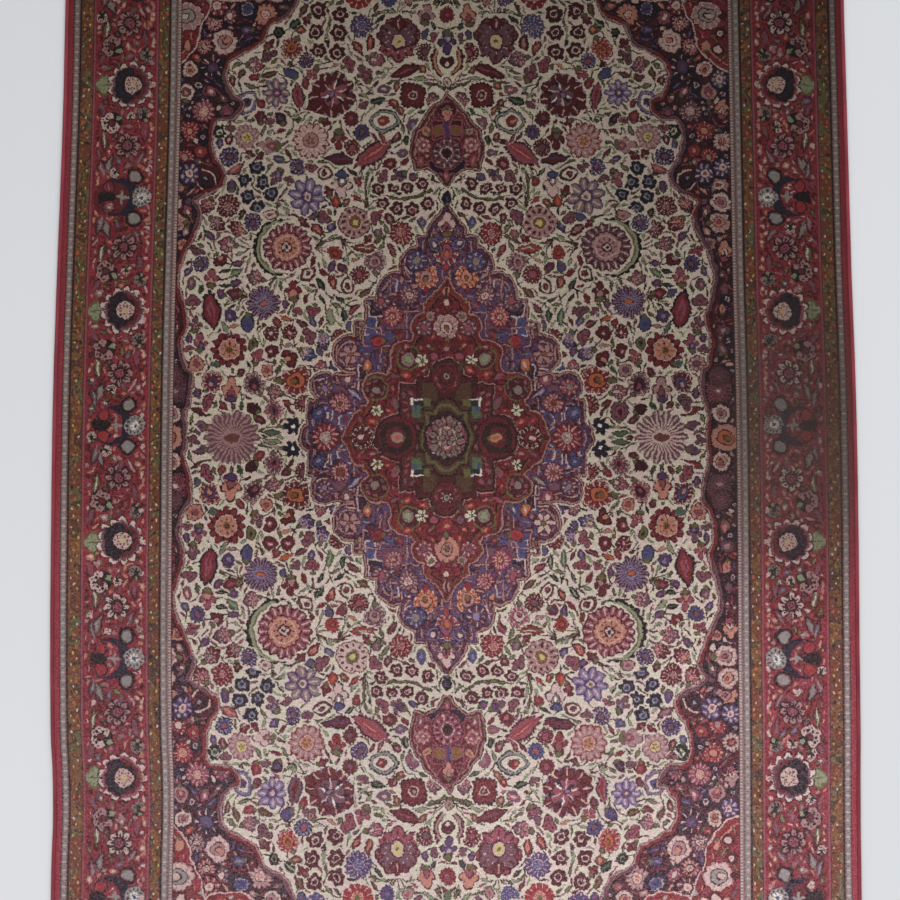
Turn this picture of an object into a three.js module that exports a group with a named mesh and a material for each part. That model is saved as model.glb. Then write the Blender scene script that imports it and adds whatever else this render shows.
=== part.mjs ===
// A hand-knotted Persian medallion rug, lying flat.
//
// The rug is one woven cloth. Its pile body is a dense slab of knots on a cotton foundation. Along each
// long side the edge warps are wrapped with red yarn into a firm round selvedge. At each short end the
// weaver leaves a narrow flat-woven web, and the bare warp ends hang out of it as a short, plain fringe.
//
// Millimetres. The origin is the middle of the underside, +Y runs along the rug towards the end that lies
// at the top of its picture, +X runs across it and +Z points up, out of the pile.
import * as THREE from 'three';

// Sizes of the woven cloth
const PILE_HALF_LENGTH = 1066;
const PILE_THICKNESS = 6;
const PILE_EDGE_ROUNDING = 1.5;

// The wrapped edge warps
const SELVEDGE_WIDTH = 6.5;
const SELVEDGE_THICKNESS = 6;
const SELVEDGE_ROUNDING = 2;

// The flat-woven web at each end and its warp fringe
const WEB_LENGTH = 12;
const WEB_THICKNESS = 2;
const FRINGE_LENGTH = 42;
const FRINGE_UNEVENNESS = 5;
const FRINGE_DRIFT = 2.4;
const STRANDS_PER_END = 140;
const STRAND_ROOT_WIDTH = 4.2;
const STRAND_TIP_WIDTH = 2.2;

// Two pieces that touch keep this gap
const SEAM_GAP = 0.3;

// How far each long side lies from the rug's middle line. A hand-woven rug is never quite straight: this
// one is widest at its waist, and its left side draws in below it.
const SIDE_STATIONS = [
  { along: -1078, left: 652.0, right: 656.0 },
  { along: -900, left: 651.5, right: 656.0 },
  { along: -700, left: 652.0, right: 657.0 },
  { along: -620, left: 650.5, right: 657.5 },
  { along: -545, left: 652.5, right: 658.5 },
  { along: -475, left: 657.0, right: 660.0 },
  { along: -325, left: 660.5, right: 661.0 },
  { along: -175, left: 662.0, right: 662.5 },
  { along: -30, left: 663.0, right: 663.0 },
  { along: 120, left: 662.5, right: 662.0 },
  { along: 270, left: 660.0, right: 659.0 },
  { along: 415, left: 657.0, right: 657.5 },
  { along: 565, left: 654.5, right: 656.0 },
  { along: 715, left: 654.0, right: 654.5 },
  { along: 900, left: 652.5, right: 653.5 },
  { along: 1078, left: 652.0, right: 653.0 },
];
const SIDE_STEPS = 64;

// A smooth line through one side's stations, as points (half width, along), over the pile's length. An
// overhang carries it straight on past both pile ends.
function sideLine(side, inset, overhang = 0) {
  const curve = new THREE.SplineCurve(
    SIDE_STATIONS.map((station) => new THREE.Vector2(station.along, station[side])),
  );
  const sampled = curve.getPoints(SIDE_STEPS * 8);
  const line = [];
  for (let step = 0; step <= SIDE_STEPS; step += 1) {
    const along = -PILE_HALF_LENGTH + (2 * PILE_HALF_LENGTH * step) / SIDE_STEPS;
    const next = Math.max(1, sampled.findIndex((point) => point.x >= along));
    const before = sampled[next - 1];
    const share = (along - before.x) / (sampled[next].x - before.x);
    const half = before.y + share * (sampled[next].y - before.y);
    line.push(new THREE.Vector2(half - inset, along));
  }
  if (overhang > 0) {
    line.unshift(new THREE.Vector2(line[0].x, line[0].y - overhang));
    line.push(new THREE.Vector2(line.at(-1).x, line.at(-1).y + overhang));
  }
  return line;
}

const onRight = (point) => new THREE.Vector2(point.x, point.y);
const onLeft = (point) => new THREE.Vector2(-point.x, point.y);

// Extrudes an outline upwards from the floor. Its long edges are rounded off inside the outline.
function slab(outline, thickness, rounding, segments) {
  const geometry = new THREE.ExtrudeGeometry(new THREE.Shape(outline), {
    depth: thickness - 2 * rounding,
    steps: 1,
    bevelEnabled: rounding > 0,
    bevelThickness: rounding,
    bevelSize: rounding,
    bevelOffset: -rounding,
    bevelSegments: segments,
  });
  geometry.translate(0, 0, rounding);
  return geometry;
}

function finished(name, geometry, colour, roughness) {
  const material = new THREE.MeshStandardMaterial({ color: colour, roughness, metalness: 0 });
  const mesh = new THREE.Mesh(geometry, material);
  mesh.name = name;
  return mesh;
}

// The knotted body: everything between the two selvedges and the two webs.
function pileBody() {
  const inset = SELVEDGE_WIDTH + SEAM_GAP;
  const right = sideLine('right', inset).map(onRight);
  const left = sideLine('left', inset).map(onLeft).reverse();
  const geometry = slab([...right, ...left], PILE_THICKNESS, PILE_EDGE_ROUNDING, 1);
  return finished('pile_body', geometry, 0x6b2f3c, 0.85);
}

// One wrapped edge, which runs past the pile along the web at both ends.
function selvedge(side) {
  const overhang = SEAM_GAP + WEB_LENGTH;
  const place = side === 'right' ? onRight : onLeft;
  const outer = sideLine(side, 0, overhang).map(place);
  const inner = sideLine(side, SELVEDGE_WIDTH, overhang).map(place).reverse();
  const outline = side === 'right' ? [...outer, ...inner] : [...outer, ...inner].reverse();
  const geometry = slab(outline, SELVEDGE_THICKNESS, SELVEDGE_ROUNDING, 2);
  return finished(`selvedge_${side}`, geometry, 0x8c1f33, 0.7);
}

// A repeatable wave for strand number n, between -1 and 1, so that no two neighbours hang alike.
const wave = (n, turn) => Math.sin(n * turn) * Math.cos(n * turn * 0.37 + 1);

// The web and its fringe are one comb-shaped outline. Its strands taper, drift and differ in length.
function webWithFringe(name, direction) {
  const start = PILE_HALF_LENGTH + SEAM_GAP;
  const webEnd = start + WEB_LENGTH;
  const inset = SELVEDGE_WIDTH + SEAM_GAP;
  const endStation = direction > 0 ? SIDE_STATIONS.at(-1) : SIDE_STATIONS[0];
  const left = -(endStation.left - inset - SEAM_GAP);
  const right = endStation.right - inset - SEAM_GAP;
  const pitch = (right - left) / STRANDS_PER_END;

  const outline = [new THREE.Vector2(left, start), new THREE.Vector2(right, start)];
  outline.push(new THREE.Vector2(right, webEnd));
  for (let n = STRANDS_PER_END - 1; n >= 0; n -= 1) {
    const root = left + (n + 0.5) * pitch;
    const tip = root + FRINGE_DRIFT * wave(n, 1.7);
    const middle = (root + tip) / 2 + 0.5 * wave(n, 2.9);
    const reach = webEnd + FRINGE_LENGTH + FRINGE_UNEVENNESS * wave(n, 0.83);
    const halfway = webEnd + FRINGE_LENGTH / 2;
    const rootHalf = STRAND_ROOT_WIDTH / 2;
    const middleHalf = (STRAND_ROOT_WIDTH + STRAND_TIP_WIDTH) / 4;
    const tipHalf = STRAND_TIP_WIDTH / 2;
    outline.push(
      new THREE.Vector2(root + rootHalf, webEnd),
      new THREE.Vector2(middle + middleHalf, halfway),
      new THREE.Vector2(tip + tipHalf, reach),
      new THREE.Vector2(tip - tipHalf, reach),
      new THREE.Vector2(middle - middleHalf, halfway),
      new THREE.Vector2(root - rootHalf, webEnd),
    );
  }
  outline.push(new THREE.Vector2(left, webEnd));
  const placed = outline.map((point) => new THREE.Vector2(point.x, point.y * direction));
  const turned = direction > 0 ? placed : placed.reverse();
  return finished(name, slab(turned, WEB_THICKNESS, 0, 1), 0xcfc4a8, 0.9);
}

const rug = new THREE.Group();
rug.add(pileBody());
rug.add(selvedge('left'), selvedge('right'));
rug.add(webWithFringe('web_top', 1), webWithFringe('web_bottom', -1));

export default rug;
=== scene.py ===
import bpy
import bmesh
import math
import numpy as np
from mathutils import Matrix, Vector


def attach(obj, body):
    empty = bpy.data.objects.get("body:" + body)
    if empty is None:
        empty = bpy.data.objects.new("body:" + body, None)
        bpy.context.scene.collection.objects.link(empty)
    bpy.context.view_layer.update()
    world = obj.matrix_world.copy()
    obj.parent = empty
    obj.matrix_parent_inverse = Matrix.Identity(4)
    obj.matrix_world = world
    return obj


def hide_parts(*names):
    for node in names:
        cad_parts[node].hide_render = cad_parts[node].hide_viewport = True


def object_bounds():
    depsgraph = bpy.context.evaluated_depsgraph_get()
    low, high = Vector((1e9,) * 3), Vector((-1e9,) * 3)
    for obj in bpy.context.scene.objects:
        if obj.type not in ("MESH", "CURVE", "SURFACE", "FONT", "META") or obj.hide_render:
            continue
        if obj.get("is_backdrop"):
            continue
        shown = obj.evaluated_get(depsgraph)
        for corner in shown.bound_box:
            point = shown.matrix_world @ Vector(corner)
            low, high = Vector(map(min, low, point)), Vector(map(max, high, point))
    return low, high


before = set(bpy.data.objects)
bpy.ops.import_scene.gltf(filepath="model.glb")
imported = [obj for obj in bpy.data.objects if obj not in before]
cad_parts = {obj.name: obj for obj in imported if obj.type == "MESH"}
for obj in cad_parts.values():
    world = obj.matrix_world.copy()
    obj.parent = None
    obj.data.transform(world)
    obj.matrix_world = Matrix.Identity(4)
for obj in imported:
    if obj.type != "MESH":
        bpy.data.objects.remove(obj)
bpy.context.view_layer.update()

# The pile. Some 2.3 million knots of silky wool, tied row by row on a cotton foundation, make the rug's
# whole face. The weaver reads their colours off a knot chart, so the chart is painted first. Each of its
# numbers is one knot's yarn. The design is drawn in units of about 1.65 mm, from the rug's middle.
KNOTS_PER_UNIT = 1.5
BLOCK = 4
FIELD_BLOCKS = (211, 396)
BORDER_BLOCKS = 44
COLS = (FIELD_BLOCKS[0] + 2 * BORDER_BLOCKS) * BLOCK
ROWS = (FIELD_BLOCKS[1] + 2 * BORDER_BLOCKS) * BLOCK
dyes = {
    "ivory": (203, 195, 175), "cream": (209, 185, 180), "white": (220, 217, 208), "blush": (198, 168, 162),
    "crimson": (124, 40, 45), "red": (148, 50, 52), "rose": (142, 74, 88), "dusty": (162, 122, 122),
    "salmon": (184, 124, 106), "orange": (176, 94, 60), "gold": (122, 85, 49), "yellow": (192, 174, 112),
    "brown": (80, 56, 42), "umber": (46, 32, 30), "rust": (112, 62, 42), "olive": (98, 94, 62),
    "green": (80, 100, 74), "sage": (138, 142, 114), "fir": (30, 40, 38), "navy": (31, 30, 48),
    "blue": (70, 74, 114), "violet": (80, 58, 98), "lilac": (130, 114, 146), "mauve": (108, 73, 84),
    "plum": (60, 31, 41), "maroon": (73, 25, 30), "ink": (25, 19, 19), "grey": (142, 137, 134),
    "stone": (134, 114, 110), "edge": (146, 50, 62), "wine": (96, 33, 38),
}
yarns = list(dyes)
chart = np.zeros((ROWS, COLS), np.uint8)
across = (np.arange(COLS) + 0.5 - COLS / 2) / KNOTS_PER_UNIT
along = (np.arange(ROWS) + 0.5 - ROWS / 2) / KNOTS_PER_UNIT
EDGE = COLS / KNOTS_PER_UNIT / 2
END = ROWS / KNOTS_PER_UNIT / 2
BAND = BORDER_BLOCKS * BLOCK / KNOTS_PER_UNIT
rng = np.random.default_rng(14)


def window_at(x, y, reach):
    """The square of the chart round a point, its distances from the point, and where it lies."""
    left, right = np.searchsorted(across, (x - reach, x + reach))
    low, high = np.searchsorted(along, (y - reach, y + reach))
    return (chart[low:high, left:right], across[None, left:right] - x, along[low:high, None] - y,
            (slice(low, high), slice(left, right)))


# A figure is a stack of layers. The role of each, such as petal or heart, picks one of the figure's yarns.
# A disc may be oval, squared off by its power, leaning to one side, or scalloped n times to a depth. Beads
# are n ovals in a ring. A layer with a least size is left out of smaller figures.
def disc(role, a, b=None, shift=0, power=2.0, lean=0.0, n=0, depth=0.0, sharp=0.6, turn=0.0, side=0.0,
         least=0):
    return dict(kind="disc", role=role, a=a, b=a if b is None else b, shift=shift, power=power, lean=lean,
                n=n, depth=depth, sharp=sharp, turn=turn, side=side, least=least)


def beads(role, n, at, long, wide, turn=0.0, shift=0.0, least=0):
    return dict(kind="beads", role=role, n=n, at=at, long=long, wide=wide, turn=turn, shift=shift,
                side=0.0, least=least)


def fan_discs(role, wide, at, angles):
    return tuple(disc(role, wide, shift=at * np.cos(np.radians(a)), side=at * np.sin(np.radians(a)))
                 for a in angles)


def inside(layer, p, q):
    """Which places of a figure, at p ahead and q aside of its middle, a layer covers."""
    p, q = p - layer["shift"], q - layer["side"]
    angle = np.arctan2(q, p) - np.radians(layer["turn"])
    far = np.hypot(p, q)
    if layer["kind"] == "beads":
        step = 2 * np.pi / layer["n"]
        fold = (angle + step / 2) % step - step / 2
        out = far * np.cos(fold) - layer["at"]
        off = far * np.sin(fold)
        return (out / layer["long"]) ** 2 + (off / layer["wide"]) ** 2 < 1
    c, s = np.abs(np.cos(angle)), np.abs(np.sin(angle))
    power = layer["power"]
    edge = ((c / layer["a"]) ** power + (s / layer["b"]) ** power) ** (-1 / power)
    edge = edge * (1 + layer["lean"] * np.cos(angle))
    if layer["n"]:
        edge = edge * (1 - layer["depth"] * (1 - np.abs(np.cos(layer["n"] * angle / 2)) ** layer["sharp"]))
    return far < edge


FIVE_WAYS = (-104, -52, 0, 52, 104)
THREE_WAYS = (0, 76, -76)
figures = {
    "rosette": (disc("halo", 1.13), disc("line", 1.0, n=8, depth=.16), disc("petal", .88, n=8, depth=.24),
        beads("line", 8, .72, .2, .04, turn=22.5), beads("mate", 8, .6, .2, .12),
        beads("shine", 8, .66, .18, .04, least=8), disc("line", .44), disc("heart", .36),
        disc("eye", .17)),
    "dotted": (disc("halo", 1.1), disc("line", 1.0, n=12, depth=.08), disc("petal", .92, n=12, depth=.1),
        beads("shine", 12, .8, .14, .03, turn=15), beads("line", 12, .68, .13, .075),
        disc("shine", .46, n=8, depth=.2), disc("heart", .4, n=8, depth=.25),
        beads("line", 8, .3, .1, .025, turn=22), disc("eye", .17)),
    "daisy": (disc("halo", 1.18, n=6, depth=.1), disc("line", 1.0, n=6, depth=.26, sharp=.8),
        disc("heart", .42), disc("petal", .3), disc("line", .13)),
    "star6": (beads("line", 6, .56, .46, .30), beads("petal", 6, .58, .34, .2), disc("line", .26),
        disc("heart", .2)),
    "whorl": (disc("halo", 1.12), beads("line", 12, .78, .26, .21), beads("petal", 12, .8, .18, .14),
        disc("line", .68, n=12, depth=.1), disc("shine", .62, n=12, depth=.14),
        disc("heart", .57, n=12, depth=.14), beads("line", 8, .36, .12, .03), disc("eye", .2),
        disc("line", .11), disc("eye", .05)),
    "carnation": (disc("halo", 1.1), disc("line", 1, n=13, depth=.2, sharp=1.2),
        disc("petal", .9, n=13, depth=.22, sharp=1.2),
        beads("line", 13, .78, .16, .035, turn=13.8, least=9), beads("mate", 13, .56, .16, .07),
        beads("shine", 13, .66, .2, .025, least=9), disc("line", .42), disc("shine", .36, least=11),
        disc("heart", .32), beads("eye", 5, .16, .1, .06)),
    "sunburst": (disc("halo", 1.06, n=14, depth=.16), disc("line", 1.0, n=14, depth=.26, sharp=.9),
        disc("mate", .93, n=14, depth=.3, sharp=.9), beads("line", 28, .64, .34, .045, turn=6.4),
        beads("petal", 28, .62, .36, .032), disc("petal", .36, .28, power=1.6),
        disc("line", .3, .17, power=1.5), disc("heart", .24, .12, power=1.5)),
    "palmette": (disc("halo", 1.16, 1.08, shift=.05),
        disc("line", 1.0, .94, shift=.05, lean=.1, n=11, depth=.2),
        disc("shine", .91, .85, shift=.05, lean=.1, n=11, depth=.22, least=11),
        disc("petal", .85, .79, shift=.05, lean=.1, n=11, depth=.24),
        beads("mate", 11, .72, .1, .07, turn=16, shift=.05),
        beads("shine", 11, .66, .2, .03, shift=.05, least=11), disc("line", .56, .46, shift=-.02, lean=.2),
        disc("heart", .49, .39, shift=-.02, lean=.2), disc("line", .3, .22, shift=-.05, lean=.2),
        disc("eye", .24, .16, shift=-.05), disc("line", .34, .3, shift=-.86, power=1.2),
        disc("leaf", .26, .22, shift=-.86, power=1.2)),
    "lotus": (disc("halo", 1.15, .9, lean=.2), disc("line", 1.0, .76, lean=.25, n=5, depth=.42, sharp=.9),
        disc("petal", .88, .64, lean=.25, n=5, depth=.46, sharp=.9),
        beads("shine", 5, .58, .2, .035, turn=36, least=9), disc("line", .5, .36, shift=-.1, power=1.4),
        disc("heart", .4, .27, shift=-.1, power=1.4), disc("line", .36, .5, shift=-.56, power=1.3),
        disc("leaf", .26, .38, shift=-.56, power=1.3), disc("eye", .16, .1, shift=-.06)),
    "bud": (disc("halo", 1.1, .78, lean=.1), disc("line", .92, .62, power=1.7, lean=-.2),
        disc("petal", .78, .48, power=1.7, lean=-.2), disc("heart", .36, .2, shift=-.1, power=1.5),
        disc("leaf", .22, .3, shift=-.8, power=1.4)),
    "leaf": (disc("halo", 1.08, .5, power=1.3), disc("line", 1.0, .36, power=1.3),
        disc("petal", .84, .24, power=1.3), disc("heart", .7, .045, power=1.3)),
    "sawleaf": (disc("halo", 1.08, .56, power=1.4),
        disc("line", 1.0, .46, power=1.4, n=22, depth=.2, sharp=1), disc("petal", .84, .3, power=1.4),
        disc("heart", .72, .12, power=1.3), disc("eye", .5, .03)),
    "eyeleaf": (disc("halo", 1.14, .9, lean=-.2, power=1.6),
        disc("line", 1.04, .8, lean=-.22, n=22, depth=.1, power=1.6),
        disc("petal", .9, .66, lean=-.22, power=1.6), disc("line", .78, .55, lean=-.24, power=1.6),
        disc("halo", .71, .49, lean=-.24, power=1.6), disc("line", .4, .34, lean=-.3, power=1.5),
        disc("heart", .33, .27, lean=-.3, power=1.5), disc("eye", .14, .1)),
    "tulip": (disc("halo", 1.12, .62, power=1.4, lean=-.2),
        disc("line", 1.02, .5, power=1.35, lean=-.26, n=26, depth=.12, sharp=1),
        disc("petal", .82, .34, power=1.35, lean=-.28), disc("heart", .62, .16, power=1.3, lean=-.3),
        disc("petal", .5, .05, power=1.3)),
    "great": (disc("line", 1.02, n=13, depth=.26), disc("petal", .96, n=13, depth=.32),
        disc("mate", .83, n=13, depth=.12), disc("eye", .72, n=13, depth=.1),
        disc("line", .64, shift=-.08, n=9, depth=.24), *fan_discs("line", .2, .58, (108, 136, 224, 252)),
        *fan_discs("navy", .12, .52, (96, 130, 164, 196, 230, 264)), disc("line", .41, shift=.08),
        disc("heart", .36, shift=.08), beads("eye", 8, .27, .05, .035, shift=.08),
        beads("mate", 8, .18, .05, .04, shift=.08, turn=20), disc("yellow", .1, shift=.08)),
    "crescent": (disc("line", 1.0, shift=.1), disc("petal", .88, .84, shift=-.3),
        disc("line", .34, shift=-.42, side=.52), disc("heart", .26, shift=-.42, side=.52),
        disc("line", .34, shift=-.42, side=-.52), disc("heart", .26, shift=-.42, side=-.52),
        disc("eye", .52, .3, shift=-.5, power=1.3), disc("eye", .16, .36, shift=-.82, power=1.4),
        beads("leaf", 4, .14, .2, .07, shift=.26), disc("leaf", .12, shift=.26)),
    "feather": (disc("line", 1.0, .4, power=1.2, lean=.2),
        disc("petal", .9, .3, power=1.3, n=18, depth=.3, sharp=1), disc("heart", .7, .08, power=1.3)),
    "fan": (disc("line", .95, .9), *fan_discs("petal", .34, .54, FIVE_WAYS),
        *fan_discs("line", .13, .5, (-78, -26, 26, 78)), disc("line", .34), disc("heart", .24),
        *fan_discs("heart", .08, .66, FIVE_WAYS), disc("line", .4, .32, shift=-.76, power=1.3),
        disc("leaf", .3, .22, shift=-.76, power=1.3)),
    "cluster": (disc("line", 1.0, n=8, depth=.12), beads("petal", 8, .7, .24, .2),
        beads("heart", 8, .56, .18, .07), beads("heart", 4, .76, .16, .12, turn=22), disc("line", .4),
        disc("eye", .32), beads("line", 5, .16, .07, .05)),
    "ring": (disc("halo", 1.12), disc("line", 1.0, n=12, depth=.1), disc("heart", .68),
        disc("petal", .58)),
    "spot": (disc("line", 1.0), disc("petal", .62)),
    "fleck": (disc("petal", 1.0, .55),),
    "eight": (disc("halo", 1.1), beads("line", 8, .62, .41, .28), beads("petal", 8, .63, .31, .19),
        beads("shine", 8, .6, .22, .05), disc("line", .28), disc("heart", .21), disc("eye", .1)),
    "square": (disc("halo", 1.12, power=3), disc("line", 1.0, power=3.4, n=20, depth=.12, sharp=1),
        disc("petal", .84, power=3.4), beads("mate", 8, .6, .1, .1), disc("shine", .38), disc("line", .3),
        disc("petal", .25), disc("eye", .13)),
    "cradled": (disc("halo", 1.14, 1.18, shift=-.12),
        disc("ink", 1.05, 1.1, shift=-.16, n=24, depth=.07, sharp=1), disc("sage", .93, .99, shift=-.13),
        disc("olive", .85, .9, shift=-.11), disc("halo", .81, .86, shift=-.08),
        disc("halo", 1.0, .99, shift=.14), disc("line", .93, .9, shift=.12, n=18, depth=.12),
        disc("petal", .87, .84, shift=.12, n=18, depth=.16),
        beads("line", 18, .74, .12, .035, shift=.12, turn=10),
        beads("shine", 18, .72, .15, .024, shift=.12), disc("line", .6, .57, shift=.09, n=16, depth=.1),
        disc("mate", .55, .52, shift=.09, n=16, depth=.14), disc("shine", .43, .41, shift=.09),
        disc("heart", .4, .38, shift=.09), beads("line", 10, .3, .06, .025, shift=.09),
        disc("line", .22, shift=.1, n=8, depth=.2), disc("shine", .16, shift=.1, n=4, depth=.6),
        disc("eye", .07, shift=.1)),
    "peony": (disc("halo", 1.12), disc("line", 1.0, .94, n=9, depth=.2),
        disc("petal", .93, .87, n=9, depth=.24), beads("shine", 9, .76, .18, .03),
        beads("line", 9, .74, .2, .03, turn=20), beads("eye", 9, .84, .07, .05, turn=20),
        disc("line", .64, .52, shift=.1, n=7, depth=.3), disc("mate", .58, .46, shift=.1, n=7, depth=.34),
        beads("heart", 5, .4, .17, .07, turn=24, shift=.2),
        beads("shine", 6, .34, .2, .03, turn=10, shift=.1),
        beads("white", 3, .3, .14, .035, turn=70, shift=.1), disc("line", .16, .12), disc("eye", .1, .07),
        disc("line", .3, .24, shift=-.84, power=1.3), disc("leaf", .22, .17, shift=-.84, power=1.3)),
    "crown": (disc("halo", 1.12, 1.04), disc("line", 1.0, .96, n=7, depth=.3, sharp=.8),
        disc("petal", .91, .87, n=7, depth=.34, sharp=.8),
        disc("line", .66, .88, shift=-.2, n=6, depth=.3), disc("leaf", .59, .8, shift=-.2, n=6, depth=.34),
        beads("shine", 14, .66, .2, .022), beads("line", 7, .72, .18, .03, turn=26),
        beads("mate", 7, .72, .14, .06), disc("line", .36, .31, shift=.06),
        disc("shine", .3, .25, shift=.06), disc("heart", .22, .18, shift=.06), disc("eye", .07, shift=.08),
        disc("line", .36, .3, shift=-.68, power=1.4), disc("mate", .28, .22, shift=-.68, power=1.4),
        disc("shine", .2, .03, shift=-.68)),
    "trefoil": (disc("halo", 1.14, 1.06), *fan_discs("line", .46, .5, THREE_WAYS),
        *fan_discs("petal", .35, .5, THREE_WAYS), *fan_discs("mate", .14, .56, THREE_WAYS),
        disc("line", .34), disc("heart", .24), disc("line", .26, .44, shift=-.62, power=1.3),
        disc("leaf", .18, .34, shift=-.62, power=1.3)),
    "bell": (disc("halo", 1.12, 1.0), disc("line", 1.0, .86, power=1.6, lean=.2, n=9, depth=.16, sharp=1),
        disc("petal", .86, .72, power=1.6, lean=.2, n=9, depth=.18, sharp=1),
        disc("mate", .5, .66, shift=-.1, power=1.5), beads("shine", 9, .5, .26, .03),
        disc("line", .36, .26, shift=-.1), disc("heart", .28, .18, shift=-.1),
        disc("line", .34, .34, shift=-.74, power=1.3), disc("leaf", .25, .25, shift=-.74, power=1.3)),
    "spade": (disc("line", 1.0, .95, power=1.5, lean=.12, n=5, depth=.2),
        disc("petal", .84, .74, power=1.5, lean=.12, n=5, depth=.24), disc("heart", .66, .07, power=1.2),
        beads("heart", 5, .5, .2, .035)),
}
near_dyes = {"rose": "mauve", "crimson": "wine", "salmon": "dusty", "lilac": "stone", "mauve": "rose",
             "violet": "blue", "red": "crimson", "dusty": "blush", "green": "sage", "gold": "olive"}
ROLES = ("line", "petal", "heart", "eye", "leaf", "halo")
PALE_PETALS = ("blush", "cream", "white", "ivory", "salmon")
OTHER_LOT = .3
FIELD_SHIFT = -8


def tuft(figure, x, y, turn, size, colours, halo="ivory", flip=1, within=None):
    """Knots one figure. Its colours follow ROLES, and petal/mate names two; some come from other lots."""
    names = dict(zip(ROLES, colours.split()))
    names.setdefault("petal", names["line"])
    names["petal"], names["mate"] = (names["petal"].split("/") * 2)[:2]
    if rng.random() < OTHER_LOT:
        names = {role: near_dyes.get(name, name) if role in ("petal", "mate", "heart") else name
                 for role, name in names.items()}
    names["shine"] = "dusty" if names["petal"] in PALE_PETALS else "blush"
    names.setdefault("heart", names["petal"])
    names.setdefault("eye", names["heart"])
    names.setdefault("leaf", "olive")
    names.setdefault("halo", halo)
    window, u, v, where = window_at(x, y, size * 1.35 + 1)
    if not window.size:
        return
    c, s = np.cos(np.radians(turn)), np.sin(np.radians(turn))
    p, q = (u * c + v * s) / size, (v * c - u * s) / size * flip
    for layer in figures[figure]:
        yarn = names.get(layer["role"], layer["role"])
        if yarn == "none" or size < layer["least"]:
            continue
        mask = inside(layer, p, q)
        if within is not None:
            mask = mask & within[where]
        window[mask] = yarns.index(yarn)


def four_ways(figure, x, y, turn, size, colours, halo="ivory", within=None, jitter=.7):
    """Knots a figure in all four quarters of the field, or in two or one where it lies on an axis."""
    for end in (1, -1) if y else (1,):
        for side in (1, -1) if x else (1,):
            new_turn = (turn if side > 0 else 180 - turn) * end
            dx, dy = rng.normal(0, jitter / 2, 2)
            grow = 1 + rng.normal(0, .025)
            tuft(figure, FIELD_SHIFT + x * side + dx * (x != 0), y * end + dy, new_turn, size * grow,
                 colours, halo, side * end, within=within)


def fill(mask, yarn):
    chart[mask] = yarns.index(yarn)


across_all, along_all = across[None, :], along[:, None]
aside, ahead = np.abs(across_all - FIELD_SHIFT), np.abs(along_all)
rim = np.minimum(EDGE - np.abs(across_all), END - np.abs(along_all))
field = rim > BAND

# The ivory field. The ground inside the border is undyed wool in two close lots. The spandrels, one in
# each corner, cut into it with a scalloped edge, and their own corners are edged off again in crimson.
fill(field, "ivory")

spandrel_edge = [
    (262, -12), (261, 10), (263, 20), (257, 40), (256, 62), (263, 74), (267, 96), (262, 118), (268, 140),
    (273, 162), (266, 185), (257, 203), (251, 225), (256, 240), (238, 250), (229, 258), (229, 270),
    (238, 284), (242, 305), (237, 321), (217, 325), (209, 340), (220, 346), (228, 362), (224, 382),
    (207, 393), (191, 403), (183, 421), (164, 430), (154, 448), (148, 468), (130, 476), (112, 484),
    (106, 500), (84, 504), (66, 516), (34, 519), (14, 536), (14, 560), (330, 560), (330, -12),
]
corner_edge = [
    (290, 372), (275, 380), (259, 399), (256, 416), (247, 434), (241, 455), (236, 449), (220, 446),
    (199, 449), (189, 462), (174, 468), (168, 486), (150, 496), (146, 514), (132, 524), (128, 560),
    (330, 560), (330, 372),
]


def smooth(points, count=14):
    """A smooth line through all the points."""
    stations = np.array(points, float)
    stations = np.vstack([2 * stations[0] - stations[1], stations, 2 * stations[-1] - stations[-2]])
    t = np.linspace(0, 1, count, endpoint=False)[:, None]
    line = []
    for a, b, c, d in zip(stations, stations[1:], stations[2:], stations[3:]):
        line.append(.5 * ((2 * b) + (c - a) * t + (2 * a - 5 * b + 4 * c - d) * t ** 2
                          + (3 * b - a - 3 * c + d) * t ** 3))
    line.append(stations[-2][None])
    return np.vstack(line)


def polygon_gap(u, v, points):
    u, v = np.broadcast_arrays(u, v)
    best = np.full(u.shape, 1e9)
    odd = np.zeros(u.shape, bool)
    corners = np.array(points, float)
    for (x0, y0), (x1, y1) in zip(corners, np.roll(corners, -1, 0)):
        dx, dy = x1 - x0, y1 - y0
        t = np.clip(((u - x0) * dx + (v - y0) * dy) / max(dx * dx + dy * dy, 1e-9), 0, 1)
        best = np.minimum(best, (u - x0 - t * dx) ** 2 + (v - y0 - t * dy) ** 2)
        if y0 != y1:
            odd ^= ((v < y0) != (v < y1)) & (u < dx * (v - y0) / dy + x0)
    return np.where(odd, -1, 1) * np.sqrt(best)


def folded_gap(points):
    """The gap to an outline that is drawn for one quarter of the field and folded over all four."""
    line = smooth(points[:-3], 5)
    line = np.vstack([line, points[-2:]])
    grid_u = np.arange(0, 300, 1 / KNOTS_PER_UNIT)
    grid_v = np.arange(0, 540, 1 / KNOTS_PER_UNIT)
    gap = polygon_gap(grid_u[None], grid_v[:, None], line)
    at_u = np.clip((aside * KNOTS_PER_UNIT).astype(int), 0, len(grid_u) - 1)
    at_v = np.clip((ahead * KNOTS_PER_UNIT).astype(int), 0, len(grid_v) - 1)
    return gap[at_v, at_u]


spandrel = folded_gap(spandrel_edge)
corner = folded_gap(corner_edge)
open_field = field & (spandrel > 3)

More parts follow.
